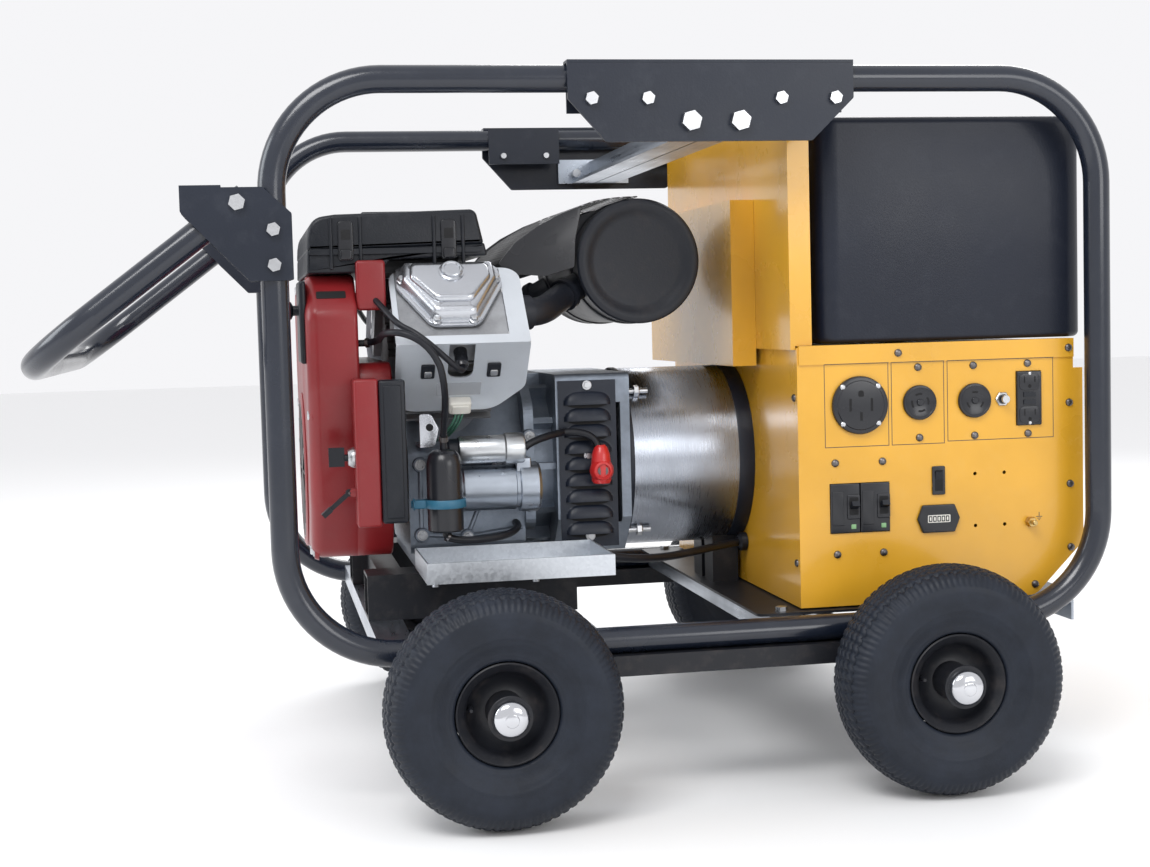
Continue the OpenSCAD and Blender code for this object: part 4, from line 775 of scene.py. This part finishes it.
solids("guard_cheeks", [side_slab(cheek, s * 148, s * 150.6, 0.5) for s in (-1, 1)]
       + [side_slab(cheek, s * 149, s * 151.6, 0.5, frame_at=boss_spot) for s in (-1, 1)], gloss_black)
port = np.array([head_x + 82.4, -189.6, 552.6])
route = bezier(port, (-146, -189.6, 552.6), (-150, -118, 560), (-92, -108, 590), 40)
pipe_parts = [tube((route * [1, s, 1])[part], r, 28) for s in (1, -1)
              for part, r in ((slice(None), 16.8), (slice(5), 20.5), (slice(30, 33), 20.5))]
pipes = solids("bent_exhaust_pipes", pipe_parts, muffler_black)
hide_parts("exhaust_pipes")

# ---------------------------------------------------------------- starter, filter
starter = solids("starter_motor", [
    revolve([(0, -262), (24, -262), (27, -259), (27, -197), (25.6, -196), (25.6, -192), (30, -191), (30, -170),
             (27, -166.4), (0, -166.4)], at(0, -158, 344), "x", 48),
    block((-196, -176, 362), (-178, -150, 380), 2)], bar_steel)
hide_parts("starter")
solenoid_axis = at(0, -168, 391)
solids("starter_solenoid", [
    revolve([(0, -264), (16.4, -264), (17, -263), (17, -210), (19, -208), (19, -188), (18, -186), (0, -186)],
            solenoid_axis, "x", 48)], steel_plate)
solids("solenoid_cap", [
    revolve([(0, -278), (12, -278), (14, -276), (14, -266), (15.5, -264), (15.5, -262), (0, -262)], solenoid_axis,
            "x", 40),
    *[revolve([(0, 0), (3, 0), (3, 7), (0, 7)], at(-278, -168 + y, 391 + z), "-x", 6)
      for y, z in ((-6, 5), (6, -5))]], plastic_black)
bowl_axis = at(-286, -207, 0)
bowl = solids("fuel_filter_bowl", [
    revolve([(0, 300), (19, 300), (21, 302), (21, 330), (0, 330)], bowl_axis, "z", 48),
    revolve([(0, 335), (21, 335), (21, 378), (20, 384), (17.5, 390), (13.5, 394.5), (8, 396), (0, 396)], bowl_axis,
            "z", 48)], gloss_black)
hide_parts("oil_filter")
solids("filter_clamp", [
    revolve([(20, 328), (24, 328), (24.6, 329), (24.6, 337), (24, 338), (20, 338)], bowl_axis, "z", 48),
    block((-292, -188, 328), (-280, -118.2, 334), 1),
    block((-323, -214, 328), (-304, -200, 338), 1.5),
    *hex_bolt(-322, -207, 333, 5, 4, "-x", 7)], clamp_blue)

# ---------------------------------------------------------------- alternator dressing
lou_lo, lou_hi = box_mm("louvre_cover")
LOUVRE_PITCH, FIRST_MOUTH, LAST_MOUTH = 20, 285, 445


def louvre_sheet(s):
    """Sheet with nine hoods in its outer face. A hood stands highest at its open lower edge, where the height drops
    at once, falls off as a cosine above it, and runs out at both ends where u goes to 0."""
    nx, nz = 45, 360
    x = np.linspace(lou_lo[0], lou_hi[0], nx)
    z = np.linspace(lou_lo[2], lou_hi[2], nz)
    gx, gz = np.meshgrid(x, z)
    u = np.clip(1 - ((gx - (lou_lo[0] + lou_hi[0]) / 2) / 28.5) ** 4, 0, 1) ** 0.5
    phase = ((gz - FIRST_MOUTH + 7) % LOUVRE_PITCH) / (3 + 13 * u)
    zone = (gz > FIRST_MOUTH - 9) & (gz < LAST_MOUTH + 10)
    hood = np.where((phase < 1) & zone, np.cos(np.clip(phase, 0, 1) * np.pi / 2) ** 0.7, 0)
    outer = np.stack([gx, s * (124.4 + 7.2 * u**0.6 * hood), gz], -1)
    inner = np.stack([gx, np.full_like(gx, s * 122.3), gz], -1)
    pts = np.concatenate([outer.reshape(-1, 3), inner.reshape(-1, 3)]) / 1000
    pts[:, 0] += cage_x
    back = nx * nz
    faces = grid_faces(nz, nx, False) + [q[::-1] for q in grid_faces(nz, nx, False, back)]
    i = np.arange(nz - 1) * nx
    j = np.arange(nx - 1)
    right, top = i + nx - 1, j + (nz - 1) * nx
    rim = [[i, i + nx, i + nx + back, i + back], [right, right + back, right + nx + back, right + nx],
           [j, j + back, j + 1 + back, j + 1], [top, top + 1, top + 1 + back, top + back]]
    return pts, faces + np.concatenate([np.stack(q, -1) for q in rim]).tolist()


louvres = solids("pressed_louvres", [louvre_sheet(-1), louvre_sheet(1)], plate_black, sharp=40)
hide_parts("louvre_cover")
# near black strips in the gap under each hood are painted shade in the louvres' mouths
mouth = bezier((-123, 0, 0), (-121, 0, -7), (-75, 0, -7), (-73, 0, 0), 24)[:, [0, 2]]
mouth_shades = [side_slab(np.concatenate([mouth + [0, z - 6.6], [[-73, z - 6.2], [-123, z - 6.2]]]), s * 124, s * 124.9,
                    0.05, n=2) for s in (-1, 1) for z in range(FIRST_MOUTH, LAST_MOUTH + 1, LOUVRE_PITCH)]
solids("louvre_mouth_shade", mouth_shades, painted_shade_black)
solids("louvre_screws", [p for s in ("-y", "y") for z in (275.5, 375, 462) for p in
                         hex_bolt(-98, (-124.6 if s == "-y" else 124.6), z, 4.4, 3.4, s, 6)], bolt_zinc)
shell_r = (corners("alternator_shell")[1][1]) * 1000
solids("alternator_bands", [
    revolve([(shell_r - 3, x0), (shell_r + 0.9, x0), (shell_r + 1.3, x0 + 1), (shell_r + 1.3, x1 - 1),
             (shell_r + 0.9, x1), (shell_r - 3, x1)], at(0, 0, crank_z), "x", 96)
    for x0, x1 in ((98, 117.6), (-44, -37))], plate_black)
end_bolts = []
for y in (-81.6, 81.6):
    for z in (crank_z + 88, crank_z - 88):
        end_bolts += [revolve([(0, -44.5), (3.4, -44.5), (3.4, -12), (0, -12)], at(0, y, z), "x", 16),
                      *hex_bolt(-30, y, z, 7.5, 7, "x")]
solids("alternator_through_bolts", end_bolts, bolt_zinc)

# ---------------------------------------------------------------- control panel
face_y = (corners("control_panel")[0][1] + 0.002) * 1000
PANEL = np.array([[1, 0, 0], [0, 0, -1], [0, 1, 0]], float)


def on_panel(spot, outline, h0, h1, r, n=5):
    """Slab on a device at (x, z): its local x runs along the panel, local y up and its height out of it."""
    return slab(outline, h0, h1, r, frame_at=(PANEL, np.array([spot[0], face_y, spot[1]])), n=n)


def disc(profile, x, z, n=64):
    return revolve(profile, at(x, face_y, z), PANEL, n)


def arc_slot(r0, r1, a0, a1):
    outer = arc_points(0, 0, r1, a0, a1, 12)
    return np.concatenate([outer, arc_points(0, 0, r0, a1, a0, 12)])


def inlays(spot, height, outlines):
    """Flat black shapes at the given height in a device's face: painted shade that shows as its slots."""
    return [on_panel(spot, o, height - 0.5, height + 0.12, 0.06, 2) for o in outlines]


outlet_50, outlet_30, outlet_20 = (193, 434.5), (267, 435), (335.5, 435)
duplex, push, breakers = (404.5, 435.5), (371, 435.5), (192, 314)
rocker_at, meter, stud = (289.5, 342), (288.5, 297), (405, 287.5)
devices = [disc([(0, -26), (26.5, -26), (26.5, 0.2), (33, 0.2), (34, 1.2), (34, 4.2), (33.2, 5.4), (31.5, 6),
                 (29, 6.2), (28.2, 7.1), (26.6, 7.4), (0, 7.4)], *outlet_50)]
slot_shades = inlays(outlet_50, 7.4, [
    round_rect(-14.5, -7, -11.5, 8, 0.6, 3), round_rect(11.5, -7, 14.5, 8, 0.6, 3),
    rounded_outline([[-3.4, 10, 1.2], [3.4, 10, 1.2], [3.4, 17.5, 3.2], [-3.4, 17.5, 3.2]], 5),
    round_rect(-1.6, -18, 1.6, -8, 0.5, 3)])
for p in (outlet_30, outlet_20):
    devices.append(disc([(0, -26), (16, -26), (16, 0.2), (19.8, 0.2), (20.5, 1), (20.5, 3.4), (19.8, 4.4), (17.6, 5),
                         (16.4, 4.2), (0, 4.2)], *p))
    devices.append(disc([(0, 4), (4, 4), (4, 5.4), (3.4, 6), (0, 6)], *p))
slot_shades += inlays(outlet_30, 4.2, [arc_slot(9, 11.4, a - 24, a + 24) for a in (10, 100, 190, 280)])
slot_shades += inlays(outlet_20, 4.2, [arc_slot(9, 11.2, a - 20, a + 20) for a in (90, 210, 330)])
devices.append(on_panel(duplex, round_rect(-15.5, -32, 15.5, 32, 1.6), -24, 3.5, 1))
for v in (-19.5, 19.5):
    devices.append(on_panel(duplex, round_rect(-13, v - 10, 13, v + 10, 6), 3, 4.3, 0.5))
    slot_shades += inlays(duplex, 4.3, [round_rect(-7.4, v - 1.5, -5.8, v + 6.5, 0.3, 3),
                                  round_rect(5.8, v - 0.5, 7.4, v + 6.5, 0.3, 3),
                                  arc_points(0, v - 5.2, 2.3, 0, 350, 16)])
for u0, u1 in ((-36.4, -0.6), (0.6, 36.4)):
    devices.append(on_panel(breakers, round_rect(u0, -29, u1, 29, 1.5), -40, 2, 0.8))
tabs = []
for u in (-8.5, 28.5):
    devices += [on_panel(breakers, round_rect(u - 7.8, -13, u + 7.8, 16, 2), 1.6, 3.4, 0.8),
                on_panel(breakers, round_rect(u - 26, -20, u - 12, 20, 1), 1.6, 2.7, 0.5)]
    slot_shades += inlays(breakers, 3.4, [round_rect(u - 5.6, -8, u + 5.6, 13, 1, 3)])
    tabs.append(on_panel(breakers, round_rect(u - 3, -24.5, u + 3, -19, 0.8), 1.6, 2.3, 0.3, 3))
solids("breaker_tabs", tabs, tab_green)
devices.append(on_panel(rocker_at, round_rect(-8, -17, 8, 17, 1.6), 0.2, 2.5, 0.8))
slot_shades += inlays(rocker_at, 2.5, [round_rect(-5, -12.4, 5, 12.4, 0.5, 3)])
meter_outline = rounded_outline([[-26.5, 0, 2], [-20, -16.5, 2], [20, -16.5, 2], [26.5, 0, 2], [20, 16.5, 2],
                                 [-20, 16.5, 2]])
devices += [on_panel(meter, meter_outline, 0.2, 4.2, 1.2),
            disc([(3.5, -6), (5.8, -6), (5.8, 4.6), (4.8, 5), (3.5, 5)], *push, 32)]
panel_kit = solids("outlet_faces", devices, gloss_black)
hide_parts("panel_devices")
# the slots and openings of the devices are flat black inlays: painted shade
solids("outlet_slot_shade", slot_shades, painted_shade_black)
bright = [disc([(0, 5.8), (3, 5.8), (3.2, 6.6), (2.2, 7.4), (0, 7.5)], *(outlet_50 + p), 20)
          for p in arc_points(0, 0, 30.6, 45, 315, 4)]
bright += [disc([(0, 4), (2, 4), (1.8, 4.9), (0, 5)], duplex[0], duplex[1] + v, 20) for v in (-29.4, 29.4)]
bright += [disc([(5.9, 0.2), (9, 0.2), (9, 2.4), (8, 3.2), (5.9, 3.2)], *push, 6)]
solids("device_screws", bright, bolt_zinc)
solids("earth_stud", [disc([(0, -10), (3, -10), (3, 15.4), (2.4, 16), (0, 16)], *stud, 24),
                      disc([(3, 0.2), (6.6, 0.2), (6.6, 3.4), (6, 4.2), (3, 4.2)], *stud, 6),
                      disc([(3, 5), (6.2, 5), (6.2, 7.8), (5.6, 8.6), (3, 8.6)], *stud, 6)], brass)
DRUM_PITCH = 5.3
solids("meter_window", [on_panel(meter, round_rect(-14, -4.6, 14, 4.4, 0.8, 3), 4.0, 4.5, 0.1, 2)], white_plastic)
for name, u0, u1, v0, v1, r, h0, h1, shade in (
        ("meter_drums", -13, -8.6, -3.6, 3.4, 0.3, 4.4, 4.62, cable_black),
        ("meter_figures", -11.7, -9.9, -2.4, 2.2, 0.5, 4.58, 4.72, white_plastic)):
    solids(name, [on_panel(meter, round_rect(u0 + DRUM_PITCH * k, v0, u1 + DRUM_PITCH * k, v1, r, 2), h0, h1, 0.05, 2)
                  for k in range(5)], shade)


def panel_paint():
    """The panel's yellow with thin printed frames round the outlets and an earth sign beside the stud."""
    s = painted("panel_yellow", paint_yellow, 0.3, coat=0.5, peel=0.1, dirt=(0.7, 0.5, 0.2), wear=0.08)
    x, y, z = s.xyz()
    x, z = (x - cage_x) * 1000, z * 1000

    def outside(x0, x1, z0, z1):
        """How far a point lies outside a rectangle, in mm; below 0 inside it."""
        return either(abs(x - (x0 + x1) / 2) - (x1 - x0) / 2, abs(z - (z0 + z1) / 2) - (z1 - z0) / 2)

    frames = ((151, 229, 386, 483), (233, 298, 386, 483), (302.5, 436, 388, 483))
    bars = ((413, 421, 292.6, 293.5), (414.6, 419.4, 290.6, 291.5), (416, 418, 288.6, 289.5),
            (416.5, 417.5, 293, 298.5))
    line_width = 0.9
    inks = [abs(outside(*f)) < line_width / 2 for f in frames] + [outside(*b) < 0 for b in bars]
    ink = inks[0]
    for more in inks[1:]:
        ink = either(ink, more)
    old = s.bsdf.inputs["Base Color"].links[0].from_socket
    s.set("Base Color", s.mix(ink * (y * 1000 < face_y + 1.5), Val(s.tree, old), (0.03, 0.025, 0.02)))
    return s

panel_yellow = panel_paint()

# ---------------------------------------------------------------- wiring
control_run = bezier((-92, -220, 262), (-20, -196, 246), (40, -120, 252), (110, -68, 251), 40)
starter_run = np.concatenate([bezier((-184, -168, 391), (-176, -168, 400), (-150, -158, 404), (-132, -136, 406), 16),
                              bezier((-128, -135, 406), (-100, -136, 406), (-90, -140, 398), (-89, -142, 384), 14)])
hose_run = np.concatenate([[(-286, -207, 396.2)],
                           bezier((-286, -207, 400), (-286, -207, 430), (-284, -268, 455), (-294, -270, 495), 16),
                           bezier((-296, -270, 499), (-312, -270, 536), (-356, -276, 540), (-356, -214, 528), 18),
                           bezier((-356, -210, 527.6), (-356, -190, 525), (-362, -178, 522), (-374, -178, 522), 10),
                           [(-379.8, -178, 522)]])
feed_run = np.concatenate([[(-286, -207, 299.8)],
                           bezier((-286, -207, 296), (-286, -207, 283), (-190, -196, 284), (-190, -128, 296), 20),
                           [(-190, -118.2, 296)]])
plug_end = np.array([-265, -241.8, 491.7])
plug_run = np.concatenate([bezier(plug_end, plug_end + [0, -14, -14], (-300, -270, 522), (-326, -245, 537), 18),
                           bezier((-330, -242, 539), (-349, -237, 549), (-356, -178, 580), (-373, -178, 580), 14),
                           [(-379.8, -178, 580)]])
cap_line = np.linspace(plug_end + [0, 18.3, 18.3], plug_end, 7)
cap_r = np.array([8.0, 8.0, 7.4, 8.0, 7.4, 8.0, 6.0])
both = [np.array([1, s, 1]) for s in (1, -1)]
solids("plug_caps", [tube(cap_line * m, cap_r, 24) for m in both], gloss_black)
solids("hose_clips", [tube(run[k:k + 2] * m, r, 20) for run, k, r, many in
                      ((hose_run, 2, 5.6, 1), (hose_run, 42, 5.6, 1), (feed_run, 2, 6, 1), (plug_run, 30, 5.4, 2))
                      for m in both[:many]], dark_steel)
leads = solids("cable_runs", [
    tube(control_run, 5, 16), tube(starter_run, 4.5, 16), tube(hose_run, 4, 16), tube(feed_run, 4.5, 16),
    *[tube(plug_run * m, 3.6, 16) for m in both],
    revolve([(0, 106), (8, 106), (12, 110), (12, 117.2), (0, 117.2)], at(0, -68, 251), "x", 32)], cable_black)
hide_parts("wiring")
boot_at = at(-86, -143, 358)
solids("terminal_boot", [
    revolve([(0, 342), (10, 342), (12, 345), (12.4, 366), (11, 378), (8, 386), (5.6, 389), (0, 389)],
            at(-86, -143, 0), "z", 32),
    revolve([(0, 0), (14.4, 0), (15, 3), (13.6, 9), (11, 13), (8.4, 14), (8, 11), (0, 10.4)], boot_at, "-y", 32)],
    boot_red)
solids("boot_terminal", [revolve([(0, 9.6), (6.6, 9.6), (6.4, 11.6), (0, 12)], boot_at, "-y", 24)], dark_steel)

# ---------------------------------------------------------------- CAD nodes in their finishes
finishes = (
    (frame_black, "front_loop rear_loop handle"), (plate_black, "handle_brackets lift_plates lift_clamps"),
    (bar_steel, "lift_bar cross_members"), (base_black, "engine_base base_plate wheel_rails"),
    (steel_plate, "axles"), (bolt_zinc, "frame_bolts push_reset"), (yellow, "control_box heat_shield shield_pan"),
    (panel_yellow, "control_panel"), (dark_steel, "panel_screws"),
    (plastic_black, "test_button reset_button breaker_lever_1 breaker_lever_2 rocker fuel_cap air_cleaner_base"
                    " ignition_key throttle_lever"),
    (shell_alu, "alternator_shell"), (copper, "alternator_stator"), (iron, "alternator_rotor crankshaft"),
    (cast_alu, "adapter_housing crankcase carburettor"), (cast_dark, "flywheel"), (fin_alu, "cylinders"),
    (shroud_silver, "cylinder_shrouds"), (zinc, "battery_tray"),
)
bevel_mm = {
    0.5: "frame_bolts test_button reset_button", 0.6: "cylinder_shrouds rocker",
    0.7: "control_panel battery_tray", 0.8: "handle_brackets lift_plates lift_bar breaker_lever_1 breaker_lever_2",
    1.0: "control_box", 1.2: "heat_shield shield_pan", 1.5: "adapter_housing engine_base", 2.0: "crankcase",
}
for shade, names in finishes:
    for name in names.split():
        kept = nodes[name].data.materials
        if kept:
            for k in range(len(kept)):
                kept[k] = shade.mat
        else:
            kept.append(shade.mat)
for width, names in bevel_mm.items():
    for name in names.split():
        mod = nodes[name].modifiers.new("soft_edges", "BEVEL")
        mod.width = width / 1000
        mod.segments = 2
        mod.limit_method = "ANGLE"
        mod.angle_limit = math.radians(40)
        mod.harden_normals = False

# ---------------------------------------------------------------- floor, light, camera
floor_shade = Shade("floor", Base_Color=(0.9, 0.9, 0.9), Roughness=0.6)
floor_me = bpy.data.meshes.new("floor")
reach = 14.0
floor_me.from_pydata([(-reach, -reach, 0), (reach, -reach, 0), (reach, reach, 0), (-reach, reach, 0)], [],
                     [(0, 1, 2, 3)])
floor_me.materials.append(floor_shade.mat)
new_object("floor", floor_me)

world = bpy.data.worlds.new("studio")
bpy.context.scene.world = world
world.use_nodes = True
world.node_tree.nodes["Background"].inputs[0].default_value = (1.0, 1.0, 1.02, 1)
world.node_tree.nodes["Background"].inputs[1].default_value = 0.92


def aim(ob, x, y, z, place):
    """Places an object with its local axes along x, y and z."""
    ob.matrix_world = Matrix([[x[k], y[k], z[k], place[k]] for k in range(3)] + [[0, 0, 0, 1]])


def area(name, place, target, size, power, tint=(1, 1, 1)):
    """Rectangular lamp at place that shines at target, in metres and watts."""
    light = bpy.data.lights.new(name, "AREA")
    light.shape = "RECTANGLE"
    light.size, light.size_y = size
    light.energy = power
    light.color = tint
    z = np.array(place, float) - np.array(target, float)
    z /= np.linalg.norm(z)
    x = np.cross([0, 0, 1.0], z)
    x /= np.linalg.norm(x)
    aim(new_object(name, light), x, np.cross(z, x), z, place)


area("key", (-1.4, -2.4, 3.2), (0.1, 0, 0.4), (2.0, 1.4), 80)
area("front", (1.6, -3.2, 1.3), (0.2, 0, 0.4), (1.6, 1.2), 22)
area("left", (-3.0, 0.2, 1.6), (0, 0, 0.4), (1.4, 1.4), 26, (0.9, 0.95, 1.0))
area("rim", (1.5, 2.8, 2.4), (0.1, 0, 0.4), (2.2, 1.2), 45)

cam = bpy.data.cameras.new("camera")
cam.lens = 54.74
cam.sensor_width = 36.0
cam.clip_start, cam.clip_end = 0.02, 60
scene = bpy.context.scene
scene.camera = new_object("camera", cam)
yaw, pitch, roll = (math.radians(v) for v in (10.62, 3.806, -1.533))
fwd = np.array([math.sin(yaw) * math.cos(pitch), math.cos(yaw) * math.cos(pitch), -math.sin(pitch)])
level = np.cross(fwd, [0, 0, 1.0])
level /= np.linalg.norm(level)
upright = np.cross(level, fwd)
aim(scene.camera, math.cos(roll) * level + math.sin(roll) * upright,
    -math.sin(roll) * level + math.cos(roll) * upright, -fwd, at(-509.9, -2235.6, 545.8))

scene.view_settings.view_transform = "Standard"
scene.view_settings.exposure = 0.0
